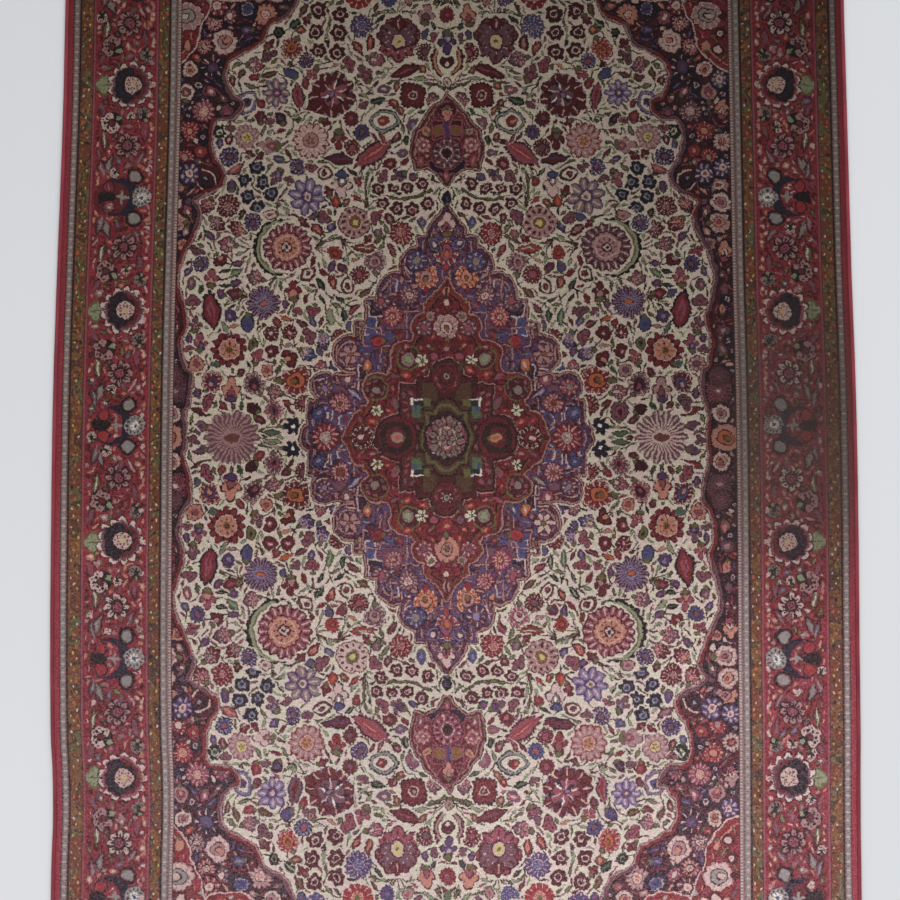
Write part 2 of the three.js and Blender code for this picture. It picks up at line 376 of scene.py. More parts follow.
# Vines and blooms on the ivory. Thin vines branch over the ground with sprays of small leaves, and the
# blooms stand along them, mirrored about both axes of the field.
vines = [
    [(16, 250), (31, 243), (47, 241), (66, 244), (80, 252)], [(80, 226), (83, 245), (82, 262), (76, 276)],
    [(76, 276), (96, 281), (122, 279), (140, 284)],
    [(122, 384), (124, 404), (121, 424), (110, 444), (92, 452)],
    [(170, 234), (184, 244), (197, 254), (199, 270)],
    [(108, 202), (128, 196), (150, 188), (166, 176), (180, 150)],
    [(140, 300), (150, 318), (172, 330), (200, 322), (216, 312)],
    [(150, 318), (158, 346), (160, 372), (158, 396)],
    [(0, 350), (8, 356), (30, 362), (56, 362), (80, 350), (96, 346)],
    [(0, 460), (14, 440), (26, 424), (40, 424)], [(0, 460), (30, 446), (60, 448), (88, 452)],
    [(212, 8), (190, 6), (172, 10), (156, 12)], [(214, 24), (214, 48), (216, 70), (217, 92), (222, 112)],
    [(180, 60), (172, 76), (166, 96), (160, 122), (150, 142)],
    [(60, 204), (74, 196), (92, 190), (106, 176)], [(236, 124), (220, 136), (200, 142), (184, 136)],
    [(166, 150), (170, 172), (164, 190)], [(206, 302), (190, 296), (176, 296), (160, 300)],
    [(222, 234), (214, 250), (216, 268), (208, 290)], [(46, 208), (34, 220), (22, 224)],
    [(68, 321), (56, 332), (44, 342)], [(88, 418), (76, 430), (60, 436)],
    [(119, 348), (104, 362), (84, 366), (66, 372)],
]


def thread(points, wide, yarn, within=None, over=None):
    """Knots a smooth line, inside an area or over one yarn where that is given."""
    line = smooth(points)
    for (x0, y0), (x1, y1) in zip(line, line[1:]):
        dx, dy = x1 - x0, y1 - y0
        reach = max(abs(dx), abs(dy)) / 2 + wide + 1
        window, u, v, where = window_at((x0 + x1) / 2, (y0 + y1) / 2, reach)
        from_x, from_y = u + dx / 2, v + dy / 2
        t = np.clip((from_x * dx + from_y * dy) / max(dx * dx + dy * dy, 1e-9), 0, 1)
        mask = (from_x - t * dx) ** 2 + (from_y - t * dy) ** 2 < (wide / 2) ** 2
        if within is not None:
            mask &= within[where]
        if over is not None:
            mask &= window == yarns.index(over)
        window[mask] = yarns.index(yarn)


def mirrored_thread(points, wide, yarn, within=None, over=None):
    for side in (1, -1):
        for end in (1, -1):
            thread([(FIELD_SHIFT + side * x, end * y) for x, y in points], wide, yarn, within, over)


for line in vines:
    mirrored_thread(line, 3.6, "umber", open_field)
for line in vines:
    mirrored_thread(line, 1.5, "olive", open_field)


def spray(x, y, turn, reach, count, spread):
    """Thin stems that leave one point like a fan, each with a small leaf at its end."""
    for n in range(count):
        lean = 2 * n / (count - 1) - 1
        a = np.radians(turn + spread * lean)
        bend = .35 * lean
        far = reach * (1 - .18 * abs(lean))
        line = [(x, y), (x + np.cos(a) * far * .5, y + np.sin(a) * far * .5),
                (x + np.cos(a + bend) * far, y + np.sin(a + bend) * far)]
        mirrored_thread(line, 1.5, ("umber", "maroon", "olive")[n % 3], open_field)
        four_ways("leaf", *line[-1], np.degrees(a + bend * 1.6), reach * .26, "fir sage",
                  within=open_field, jitter=0)


sprays = [
    (136, 192, 180, 24, 5, 34), (192, 192, 0, 20, 4, 40), (152, 222, 70, 20, 4, 40),
    (150, 162, -70, 20, 4, 40), (140, 284, 90, 18, 5, 38), (100, 360, 170, 26, 5, 30),
    (136, 330, 20, 22, 5, 40), (160, 384, -80, 20, 4, 34), (190, 296, 180, 20, 4, 40),
    (124, 384, 90, 28, 3, 20), (66, 448, 180, 22, 4, 30), (50, 382, -90, 18, 5, 46),
    (50, 428, 90, 20, 5, 50), (178, 240, 200, 20, 4, 30), (214, 34, 90, 22, 5, 40),
    (186, 0, 180, 20, 5, 44), (184, 116, -90, 20, 5, 40), (200, 142, 10, 20, 4, 40),
    (228, 106, 40, 16, 4, 40), (108, 200, 220, 24, 5, 40), (83, 226, 100, 26, 3, 14),
    (72, 190, -80, 18, 4, 40), (0, 460, 20, 26, 4, 30), (0, 358, 30, 30, 4, 26), (92, 280, 200, 20, 4, 30),
    (206, 322, 80, 16, 4, 40), (176, 334, 90, 16, 4, 30), (153, 330, 80, 14, 4, 40),
]
for fan in sprays:
    spray(*fan)

# Each bloom is its figure, its place in the upper right quarter, its turn, its size and its yarns.
blooms = [
    # rows of small flowers under the finials
    ("daisy", 65, 236, 0, 7.2, "maroon mauve blush"), ("daisy", 50, 231, 9, 7.2, "maroon mauve blush"),
    ("daisy", 34.5, 231, 20, 7.2, "maroon mauve blush"), ("daisy", 20, 236, 4, 7.2, "maroon mauve blush"),
    ("daisy", 69.5, 251, 30, 7.2, "maroon mauve blush"), ("daisy", 54.6, 253, 12, 7, "maroon mauve blush"),
    ("daisy", 40, 252, 40, 7.2, "maroon mauve blush"), ("daisy", 25.5, 257, 0, 7, "maroon mauve blush"),
    # clusters of six
    ("daisy", 132.6, 394, 0, 9, "maroon plum blush"), ("daisy", 112.5, 391, 20, 9, "maroon plum blush"),
    ("daisy", 136, 413, 10, 9, "maroon plum blush"), ("daisy", 112, 412, 0, 9, "maroon plum blush"),
    ("daisy", 133, 435, 30, 9, "maroon plum blush"), ("daisy", 110, 431, 15, 9, "maroon plum blush"),
    ("daisy", 192.5, 231.5, 0, 8.2, "navy blue grey"), ("daisy", 203.4, 244, 20, 8.2, "navy blue grey"),
    ("daisy", 179, 246, 10, 8.2, "navy blue grey"), ("daisy", 206.5, 260, 0, 8.2, "navy blue grey"),
    ("daisy", 188, 258, 30, 8.2, "navy blue grey"), ("daisy", 194.5, 273.5, 15, 8.2, "navy blue grey"),
    # large flowers
    ("carnation", 46, 206, 150, 12.5, "maroon crimson rose salmon"),
    ("dotted", 94, 217, 0, 17.5, "maroon dusty gold yellow"),
    ("sunburst", 214.5, 0, 0, 29, "mauve dusty/stone rust"),
    ("whorl", 219, 88, 0, 18.5, "maroon crimson salmon gold"),
    ("sunburst", 184, 136, 0, 18, "maroon lilac/mauve orange"),
    ("cradled", 165, 192, 180, 29, "maroon rose/salmon salmon navy green"),
    ("carnation", 223, 234, 0, 12, "maroon crimson/wine rose salmon"),
    ("eight", 142, 243, 11, 19, "violet lilac blush olive"),
    ("carnation", 140, 301, 0, 19, "crimson dusty salmon gold"),
    ("carnation", 206, 304, 0, 14.5, "mauve dusty yellow gold"),
    ("eight", 176, 350, 0, 14.5, "violet lilac mauve blush"),
    ("carnation", 88.6, 418.5, 0, 13.5, "violet violet/blue blue lilac"),
    ("dotted", 90.5, 451, 0, 15, "crimson red salmon olive"),
    ("rosette", 131, 457, 0, 12, "violet violet blue rose"),
    ("crown", 50, 405, -90, 25, "maroon rose/wine yellow olive mauve"),
    ("peony", 119, 348, 150, 26, "maroon wine/rose navy lilac wine"),
    ("palmette", 152, 57, 180, 17.5, "maroon crimson orange gold"),
    ("palmette", 72, 176, 90, 13, "navy mauve dusty rose"),
    ("palmette", 192, 52, 60, 12.5, "maroon mauve plum rose"),
    ("palmette", 236, 54, 120, 12.5, "maroon crimson violet salmon"),
    ("palmette", 173, 25.5, 90, 11, "maroon mauve rose plum"),
    ("palmette", 159, 397, -60, 12.5, "maroon red orange gold"),
    ("lotus", 215.5, 46, 90, 13.5, "maroon salmon rose gold violet"),
    ("lotus", 108, 258, -90, 14, "navy blush lilac white blue"),
    ("eyeleaf", 68, 321, 0, 16, "fir grey red salmon"),
    ("square", 35.4, 347.6, 4, 13.5, "ink wine/crimson rose dusty"),
    # roses in threes, and dark rosettes by the medallion's sides
    ("rosette", 176, 105.5, 0, 8, "maroon wine rose blush"),
    ("rosette", 158, 105.5, 0, 8, "maroon wine rose blush"),
    ("rosette", 176, 86.3, 0, 8, "maroon wine rose blush"),
    ("star6", 154, 11.5, 0, 9.5, "navy navy white"),
    # red teardrops edged in navy
    ("tulip", 236, 123, -100, 22, "navy crimson rose"),
    # leaves
    ("sawleaf", 83, 191.6, 5, 14, "maroon red olive cream"), ("leaf", 108, 282, 4, 19, "navy wine violet"),
    ("sawleaf", 75, 288, 145, 25, "maroon rose/mauve red salmon"),
    ("leaf", 43, 372, 160, 18, "maroon wine rose"), ("sawleaf", 153, 346, 82, 16, "navy rose crimson"),
    ("leaf", 174, 4, 0, 10, "fir green olive"), ("leaf", 246, 26, 20, 12, "fir crimson red"),
    ("leaf", 223, 111, 60, 9, "fir green olive"), ("leaf", 161, 119, 20, 9, "umber orange red"),
    ("leaf", 92.4, 241, 40, 8, "maroon red orange"), ("leaf", 66, 303, 60, 8, "umber red salmon"),
    # buds
    ("bud", 117, 212, -60, 7, "navy violet lilac"), ("bud", 69.5, 207, 90, 8, "umber mauve stone"),
    ("bud", 25.5, 218, 90, 7.5, "violet blue lilac"), ("bud", 113.5, 237.6, -90, 8, "umber red orange"),
    ("carnation", 58, 277, 0, 8, "maroon wine rose salmon"),
    ("bud", 46.5, 288, 0, 7, "violet mauve lilac"), ("bud", 42, 302, 90, 6, "fir fir green"),
    ("rosette", 35, 318, 0, 7.5, "violet mauve lilac"),
    ("lotus", 111, 304, -90, 11, "umber crimson rose olive"),
    ("bud", 66, 353, 0, 8.5, "violet mauve blush"), ("bud", 55, 340, 60, 7, "maroon crimson salmon"),
    ("lotus", 84, 368, 60, 11, "maroon mauve rose"),
    ("carnation", 113.5, 186, 0, 8, "umber red crimson orange"),
    ("bud", 106, 172, 40, 7.5, "maroon crimson violet"), ("bud", 195.4, 96, 90, 8.5, "umber olive umber"),
    ("rosette", 180, 67, 0, 7, "maroon salmon rose"),
    ("rosette", 251, 74, 0, 9, "maroon salmon rose mauve"), ("bud", 234, 74, 0, 6, "fir green blue"),
    ("lotus", 247, 93, 90, 10, "plum mauve violet lilac"), ("bud", 200, 113, -90, 11, "umber blue violet"),
    ("bud", 248, 12, 0, 9, "plum mauve violet"), ("bud", 195, 29, 30, 9, "umber maroon plum"),
    ("lotus", 155, 145, 90, 11, "maroon crimson salmon"), ("rosette", 218, 122, 0, 7, "plum violet lilac"),
    ("bud", 216, 145, 0, 9, "maroon wine rose"), ("lotus", 237.5, 158.5, 90, 11, "maroon rose salmon"),
    ("bud", 258, 156, 90, 8, "plum mauve dusty"), ("bud", 181, 225, 0, 9, "maroon dusty rose"),
    ("bud", 208, 227, 90, 7, "umber maroon olive"), ("bud", 220, 256, 90, 8, "plum violet mauve"),
    ("tulip", 214, 273, 150, 11, "maroon rose salmon"), ("lotus", 172, 265, -60, 10, "plum mauve lilac"),
    ("daisy", 232.5, 310, 0, 8, "fir green ivory"), ("lotus", 180, 296, 0, 12, "mauve dusty rose salmon"),
    ("bud", 191.6, 326.5, 90, 9, "maroon crimson rose"),
    ("bud", 171.5, 324.6, 60, 8.5, "navy maroon blue"),
    ("eyeleaf", 205, 342, 120, 14, "violet lilac violet navy"),
    ("bud", 163, 370.5, 30, 9, "navy violet blue"), ("bud", 199, 366, 0, 7.5, "maroon crimson rose"),
    ("daisy", 173.4, 412.6, 0, 6, "ink fir green"),
    ("carnation", 60, 447, 0, 9, "violet violet blue lilac"),
    ("bud", 41, 447, 70, 7.5, "maroon dusty rose"), ("lotus", 22, 428, 100, 12, "maroon salmon rose"),
    ("leaf", 14, 419, 60, 7, "fir fir green"),
]
for bloom in blooms:
    four_ways(*bloom, within=open_field)


# Small blooms, leaves and buds. The weaver leaves no bare ground, so smaller figures on short stems fill
# whatever gaps are left, the larger ones first.
flowers = [
    ("sawleaf", "ink wine rose"), ("bell", "maroon wine/rose salmon wine"),
    ("eyeleaf", "fir crimson wine rose"), ("lotus", "maroon rose salmon wine"),
    ("lotus", "plum mauve/lilac violet violet"), ("carnation", "umber wine/crimson rose"),
    ("trefoil", "umber rose/wine rose wine"), ("carnation", "ink violet/blue mauve"),
    ("sawleaf", "ink fir green"), ("trefoil", "maroon mauve/rose rose wine"),
    ("tulip", "ink crimson salmon"), ("sawleaf", "fir wine olive"), ("sawleaf", "fir green sage"),
    ("bell", "plum mauve/rose dusty violet"), ("bell", "navy violet/lilac dusty rose"),
    ("trefoil", "ink wine/crimson salmon fir"),
]
small_things = [
    ("leaf", "ink fir green"), ("sawleaf", "ink green fir"), ("lotus", "maroon wine rose"),
    ("sawleaf", "maroon crimson wine"), ("bud", "maroon crimson rose"), ("bud", "umber rust salmon"),
    ("bud", "plum violet lilac"), ("leaf", "plum wine mauve"), ("bud", "umber wine dusty"),
    ("trefoil", "umber mauve rose"), ("bud", "ink violet rose"), ("leaf", "fir olive sage"),
    ("trefoil", "maroon wine rose"), ("leaf", "umber salmon rose"),
]
slivers = [
    ("leaf", "umber olive"), ("leaf", "fir fir"), ("leaf", "maroon wine"), ("leaf", "umber mauve"),
    ("leaf", "maroon rose"), ("leaf", "green sage"), ("leaf", "fir sage"),
]


def cloud(grain, seed):
    """A soft cloud over the whole chart, 0 to 1, whose puffs are grain knots wide."""
    rough = np.random.default_rng(seed).random((ROWS // grain + 3, COLS // grain + 3))
    r, c = np.arange(ROWS) / grain, np.arange(COLS) / grain
    r0, c0 = r.astype(int), c.astype(int)
    fr, fc = (r - r0)[:, None], (c - c0)[None]
    fr, fc = fr * fr * (3 - 2 * fr), fc * fc * (3 - 2 * fc)
    top = rough[r0][:, c0] * (1 - fc) + rough[r0][:, c0 + 1] * fc
    low = rough[r0 + 1][:, c0] * (1 - fc) + rough[r0 + 1][:, c0 + 1] * fc
    return top * (1 - fr) + low * fr


def dye_lots(area, yarn, lots, grain, seed):
    """Lets a ground change to neighbouring dye lots in soft-edged patches."""
    puffs = cloud(grain, seed) * .7 + cloud(max(3, grain // 4), seed + 50) * .3
    bare = area & (chart == yarns.index(yarn))
    steps = np.linspace(.3, .7, len(lots) + 1)
    for low, high, lot in zip(steps, list(steps[1:]) + [2], lots):
        fill(bare & (puffs > low) & (puffs <= high), lot)


def fill_gaps(ground, area, choices, clear, seed, halo, size=(1.0, 1.5), fold=True, stem=None):
    """Fits a leaf or bud along every gap that is still at least 2 * clear wide."""
    pick = np.random.default_rng(seed)
    reach = int(round(clear * KNOTS_PER_UNIT))
    half = max(1, int(reach * .7))
    bare = (chart == yarns.index(ground)) & area
    if fold:
        bare &= (across_all > FIELD_SHIFT) & (along_all > 0)
    sums = np.pad(np.cumsum(np.cumsum(~bare, 0), 1), ((1, 0), (1, 0)))
    k = 2 * half + 1
    box = sums[k:, k:] - sums[:-k, k:] - sums[k:, :-k] + sums[:-k, :-k]
    spots = np.argwhere(box == 0) + half
    pick.shuffle(spots)
    dy, dx = np.mgrid[-reach:reach + 1, -reach:reach + 1]
    circle = np.hypot(dx, dy) <= reach
    wide = int(reach * 1.9)
    wy, wx = np.mgrid[-wide:wide + 1, -wide:wide + 1]
    near_circle = np.hypot(wx, wy) <= wide
    ground_no = yarns.index(ground)
    for r, c in spots:
        if min(r, c, ROWS - 1 - r, COLS - 1 - c) < wide:
            continue
        block = (slice(r - reach, r + reach + 1), slice(c - reach, c + reach + 1))
        if ((chart[block] != ground_no) & circle).any() or not area[block][circle].all():
            continue
        block = (slice(r - wide, r + wide + 1), slice(c - wide, c + wide + 1))
        free = (chart[block] == ground_no) & area[block] & near_circle
        long_way = np.linalg.eigh(np.cov(wx[free], wy[free]))[1][:, 1]
        turn = np.degrees(np.arctan2(long_way[1], long_way[0])) + pick.choice((0, 180))
        turn = turn + pick.normal(0, 12)
        figure, colours = choices[pick.integers(len(choices))]
        grow = clear * pick.uniform(*size)
        if not fold:
            tuft(figure, across[c], along[r], turn, grow, colours, halo, within=area)
            continue
        x, y = across[c] - FIELD_SHIFT, along[r]
        if stem:
            a = np.radians(turn)
            bend = pick.normal(0, .5)
            line = [(x - np.cos(a) * grow * .7, y - np.sin(a) * grow * .7),
                    (x - np.cos(a + bend * .5) * grow * 1.5, y - np.sin(a + bend * .5) * grow * 1.5),
                    (x - np.cos(a + bend) * grow * 2.3, y - np.sin(a + bend) * grow * 2.3)]
            mirrored_thread(line, 1.4, stem, over=ground)
        four_ways(figure, x, y, turn, grow, colours, halo=halo, within=area, jitter=.3)


fill_gaps("ivory", open_field, flowers, 7.4, 3, "ivory", size=(1.15, 1.4), stem="umber")
fill_gaps("ivory", open_field, small_things, 4.9, 4, "ivory", size=(1.2, 1.5), stem="umber")
fill_gaps("ivory", open_field, slivers, 3.1, 5, "ivory", size=(1.2, 1.6), stem="olive")
dye_lots(open_field, "ivory", ["ivory", "cream", "ivory", "cream", "cream"], 8, 71)

# The spandrels. A dark ground of several dye lots, crowded with warm blooms, fills each corner of the
# field behind a thin dusty pink line. The outermost corner turns crimson.
inside_spandrel = field & (spandrel <= 3)
fill(inside_spandrel, "umber")
fill(field & (spandrel <= 2.3), "dusty")
fill(field & (spandrel <= .6), "maroon")
rim_red = cloud(60, 81) > .52
fill(field & (spandrel <= -.2) & rim_red, "crimson")
fill(field & (spandrel <= -.2) & ~rim_red, "mauve")
fill(field & (spandrel <= -2.6), "ink")
ground = field & (spandrel <= -3.8)
fill(ground, "plum")
dark = ground & (corner > 1)
spandrel_blooms = [
    ("rosette", 242, 377, 0, 15, "navy plum violet mauve"),
    ("carnation", 250, 331, 0, 13, "maroon rose salmon blush"),
    ("carnation", 264, 311, 0, 11, "maroon red salmon"),
    ("carnation", 268, 284, 0, 10, "maroon red dusty"),
    ("palmette", 228, 404, -30, 15, "maroon blush dusty salmon maroon"),
    ("rosette", 225, 429, 0, 8, "navy rose blush"),
    ("carnation", 187, 431, 0, 13, "maroon salmon blush orange"),
    ("whorl", 206, 437, 0, 11, "navy navy blue violet"),
    ("eyeleaf", 246, 262, 60, 15, "maroon blush navy grey"),
    ("palmette", 276, 217, 0, 12, "maroon dusty salmon rose"),
    ("palmette", 276, 255, 0, 11, "maroon salmon dusty rose"), ("bud", 262, 238, 0, 7, "navy mauve blue"),
    ("palmette", 281, 0, 180, 17, "maroon salmon orange gold"),
    ("sunburst", 272, 47, 0, 15, "plum mauve dusty"), ("sunburst", 274, 62, 0, 11, "maroon mauve rose"),
    ("bud", 277, 90, 90, 9, "plum rose salmon"), ("rosette", 279, 108, 0, 8, "plum mauve dusty"),
    ("bud", 278, 130, 90, 8, "maroon salmon rose"), ("bud", 281, 150, 90, 7, "plum mauve rose"),
    ("rosette", 268, 196, 0, 7, "maroon salmon rose"), ("carnation", 252, 290, 0, 7, "navy red salmon"),
    ("bud", 244, 352, 60, 8, "navy rose blush"), ("rosette", 226, 330, 0, 8, "maroon mauve rose"),
    ("palmette", 268, 350, 90, 10, "maroon dusty rose salmon"),
    ("bud", 208, 415, 0, 8, "navy violet lilac"), ("bud", 170, 440, 20, 7, "maroon rose salmon"),
    ("carnation", 160, 470, 0, 10, "maroon salmon blush orange"),
    ("rosette", 140, 488, 0, 9, "navy violet rose"),
    ("palmette", 112, 500, -90, 11, "maroon rose salmon gold"),
    ("rosette", 96, 516, 0, 7, "navy blue lilac"), ("carnation", 74, 521, 0, 8, "maroon red salmon"),
    ("palmette", 0, 527, 90, 15, "maroon salmon orange gold"),
    ("rosette", 118, 520, 0, 7, "navy mauve rose"), ("bud", 50, 525, 0, 6, "maroon salmon rose"),
]
for bloom in spandrel_blooms:
    four_ways(*bloom, halo="plum", within=dark)
spandrel_large = [
    ("carnation", "ink rose/salmon blush crimson"), ("palmette", "ink blush/dusty salmon rose maroon"),
    ("rosette", "ink crimson/rose blush salmon"), ("lotus", "ink salmon blush crimson rose"),
    ("rosette", "navy violet/lilac blush rose"), ("carnation", "ink dusty/blush crimson salmon"),
]
spandrel_small = [
    ("bud", "ink red salmon"), ("leaf", "navy violet lilac"), ("bud", "ink dusty blush"),
    ("leaf", "ink salmon blush"), ("daisy", "navy mauve blush"), ("leaf", "ink crimson rose"),
    ("lotus", "ink rose blush"),
]
fill_gaps("plum", dark, spandrel_large, 7.4, 6, "plum", size=(1.3, 1.6))
fill_gaps("plum", dark, spandrel_small, 4.6, 6, "plum", size=(1.15, 1.5), stem="rose")
fill_gaps("plum", dark, spandrel_small, 2.9, 7, "plum", size=(1.1, 1.5))
dye_lots(dark, "plum", ["wine", "maroon", "plum", "navy", "ink"], 14, 72)

# The crimson corners of the spandrels.
fill(field & (corner <= 3), "maroon")
fill(field & (corner <= 2), "blush")
red_corner = field & (corner <= .4)
fill(red_corner, "crimson")
fill(red_corner & (np.abs(corner + 6) < .7), "salmon")
corner_blooms = [
    ("palmette", 270, 430, 180, 17, "maroon dusty grey blush maroon"),
    ("carnation", 258, 470, 0, 14, "maroon rose blush gold"),
    ("rosette", 228, 470, 0, 10, "maroon dusty salmon blush"),
    ("palmette", 222, 503, -45, 16, "maroon navy blue blush olive"),
    ("carnation", 186, 492, 0, 11, "maroon salmon blush orange"),
    ("rosette", 262, 506, 0, 12, "navy mauve rose blush"),
    ("rosette", 172, 515, 0, 8, "maroon rose blush"), ("bud", 267, 400, 90, 8, "maroon salmon"),
    ("bud", 205, 462, 0, 8, "maroon grey blush"), ("bud", 244, 446, 0, 7, "maroon grey blush"),
]
for bloom in corner_blooms:
    four_ways(*bloom, halo="crimson", within=red_corner)
corner_small = [
    ("bud", "maroon salmon blush"), ("leaf", "maroon olive sage"), ("leaf", "maroon rose"),
    ("spot", "maroon blush"), ("daisy", "maroon dusty blush"),
]
fill_gaps("crimson", red_corner, corner_small, 5.5, 8, "crimson", size=(1.1, 1.5))
fill_gaps("crimson", red_corner, corner_small, 3.2, 9, "crimson", size=(1.1, 1.5))
dye_lots(red_corner, "crimson", ["crimson", "edge", "wine"], 12, 73)


# The medallion. Its stepped and lobed outline holds a violet layer, cut into coloured blocks, and inside
# that a crimson layer with a maroon cross, a gold frame and a grey heart.
medallion_shapes = [
    ("step", 0, 0, 80, 138), ("step", 0, 0, 91, 115), ("lobe", 97, 84, 15, 17), ("lobe", 122, 51, 12, 13),
    ("step", 0, 0, 131, 38), ("step", 0, 0, 137, 36), ("lobe", 128, 0, 17, 15), ("step", 0, 0, 112, 62),
    ("lobe", 52, 144, 17, 20), ("step", 0, 0, 60, 150), ("lobe", 30, 172, 16, 18), ("step", 0, 0, 29, 202),
    ("lobe", 0, 198, 19, 22),
]
tip = [
    (-17, 200), (-18, 208), (-12, 219), (-4, 227), (0, 235), (4, 227), (12, 219), (18, 208), (17, 200),
]


# A gap is the distance to a shape's edge, negative inside it. A lobe is round and a step is square.
def shape_gap(u, v, kind, x, y, w, h):
    if kind == "lobe":
        return (np.hypot((u - x) / w, (v - y) / h) - 1) * min(w, h)
    dx, dy = np.abs(u - x) - w, np.abs(v - y) - h
    return np.hypot(np.maximum(dx, 0), np.maximum(dy, 0)) + np.minimum(np.maximum(dx, dy), 0)


def joined_gap(u, v, shapes):
    gap = shape_gap(u, v, *shapes[0])
    for shape in shapes[1:]:
        gap = np.minimum(gap, shape_gap(u, v, *shape))
    return gap


def banded(gap, bands):
    """Fills a shape from its edge inwards; each band is its depth and its yarn."""
    for depth, yarn in bands:
        fill(gap < depth, yarn)


FAR_OFF = 99.0
near = (slice(*np.searchsorted(along, (-245, 245))), slice(*np.searchsorted(across, (-165, 150))))
near_aside, near_ahead = aside[:, near[1]], ahead[near[0]]
medallion = np.full(chart.shape, FAR_OFF)
medallion[near] = np.minimum(joined_gap(near_aside, near_ahead, medallion_shapes),
                             polygon_gap(near_aside, near_ahead, tip))
banded(medallion, ((4.6, "ivory"), (3.2, "maroon"), (2.3, "dusty"), (.9, "maroon"), (-.5, "violet")))
outer = medallion < -.5
fill(outer & (np.abs(medallion + 4.2) < 1.6), "maroon")
fill(outer & (np.abs(medallion + 4.2) < .7), "dusty")
fill(outer & (np.abs(medallion + 8) < .5), "lilac")

inner_shapes = [
    ("step", 0, 0, 21.5, 135), ("step", 0, 0, 19, 139), ("lobe", 20, 112, 14, 12),
    ("lobe", 37, 84, 18, 13), ("step", 0, 0, 54, 80), ("lobe", 68, 50, 16, 14), ("step", 0, 0, 67, 62),
    ("step", 0, 0, 83, 31), ("lobe", 86, 12, 10, 14),
]
point = [(0, 161), (9, 146), (19, 138), (19, 120), (84, 26), (95, 18), (99, 8), (103, 0), (0, 0)]
crimson_ground = np.full(chart.shape, FAR_OFF)
crimson_ground[near] = np.minimum(joined_gap(near_aside, near_ahead, inner_shapes),
                                  polygon_gap(near_aside, near_ahead, point))
inside_crimson = crimson_ground < -1.2

# The violet layer is cut into coloured blocks, with blooms over them.
violet_layer = outer & (crimson_ground > 3)
patches = [
    ("step", 76, 120, 5, 17, "blue"), ("step", 81, 76, 10, 22, "violet"), ("step", 84, 60, 4, 12, "navy"),
    ("step", 127, 22, 6, 7, "blue"), ("step", 108, 20, 7, 10, "blue"), ("step", 66, 128, 12, 6, "navy"),
    ("step", 40, 150, 9, 7, "blue"), ("step", 100, 60, 8, 8, "plum"), ("lobe", 70, 96, 8, 7, "crimson"),
    ("step", 50, 118, 10, 9, "mauve"), ("lobe", 123, 50, 9, 9, "plum"), ("lobe", 108, 44, 8, 9, "mauve"),
    ("lobe", 30, 176, 12, 10, "plum"), ("step", 12, 190, 9, 8, "violet"), ("lobe", 98, 16, 10, 9, "blue"),
    ("step", 126, 10, 7, 14, "plum"),
]
for kind, x, y, w, h, yarn in patches:
    shape = shape_gap(aside, ahead, kind, x, y, w, h)
    fill(violet_layer & (shape < 1.3), "blush" if yarn in ("navy", "blue", "plum") else "maroon")
    fill(violet_layer & (shape < 0), yarn)
for x, y, w, h in ((62, 118, 22, 26), (30, 150, 26, 24), (88, 84, 22, 26), (112, 34, 20, 22),
                   (0, 188, 15, 18)):
    shape = shape_gap(aside, ahead, "step", x, y, w, h)
    fill(violet_layer & (np.abs(shape) < 1.5), "maroon")
    fill(violet_layer & (np.abs(shape) < .6), "dusty")
violet_blooms = [
    ("star6", 97, 84, 0, 11.5, "maroon dusty gold orange"),
    ("carnation", 121, 0, 0, 16, "maroon crimson/rose stone blush"),
    ("palmette", 21, 160, 90, 14, "maroon orange/rust salmon gold crimson"),
    ("carnation", 38, 143, 0, 11, "maroon rose dusty red"),
    ("carnation", 54, 122, 0, 10.5, "crimson rose/salmon rust blush"),
    ("rosette", 66, 137, 0, 9, "plum mauve rose"),
    ("carnation", 107, 35, 0, 11, "maroon rose/dusty rust crimson"),
    ("rosette", 122, 50, 0, 9, "maroon mauve lilac"), ("bud", 79, 74, 90, 8, "navy orange blush"),
    ("bud", 68, 72, 60, 6, "navy violet dusty"), ("rosette", 100, 59, 0, 8, "maroon rose blush"),
    ("bud", 70, 97, 0, 9, "maroon red crimson"), ("leaf", 92, 44, 40, 10, "navy lilac blush"),
    ("bud", 85, 117, 90, 7, "navy dusty rose"), ("rosette", 30, 178, 0, 11, "plum violet lilac"),
    ("palmette", 0, 186, 90, 15, "navy crimson rose orange red"),
    ("lotus", 0, 213, 90, 13, "maroon blush rose navy"), ("eyeleaf", 14, 196, 40, 8, "navy lilac blush"),
    ("rosette", 128, 24, 0, 7, "navy blue lilac"), ("bud", 96, 104, 0, 8, "plum mauve rose"),
    ("leaf", 44, 160, 100, 8, "maroon salmon"),
]
for bloom in violet_blooms:
    four_ways(*bloom, halo="violet", within=violet_layer)
violet_small = [
    ("bud", "maroon rose dusty"), ("lotus", "navy rose dusty"), ("leaf", "navy lilac"),
    ("bud", "plum rust rose"), ("leaf", "maroon rose"), ("bud", "crimson wine rose"),
    ("daisy", "plum mauve rose"), ("leaf", "navy blue"), ("leaf", "wine rose"), ("leaf", "maroon crimson"),
    ("bud", "maroon crimson mauve"),
]
for ground_yarn in ("violet", "navy", "plum", "blue", "mauve"):
    fill_gaps(ground_yarn, violet_layer, violet_small, 4.2, 10, ground_yarn, size=(1.1, 1.5), stem="dusty")
    fill_gaps(ground_yarn, violet_layer, violet_small, 2.4, 11, ground_yarn, size=(1.1, 1.5))
dye_lots(outer, "violet", ["mauve", "violet", "navy", "wine", "blue"], 16, 74)

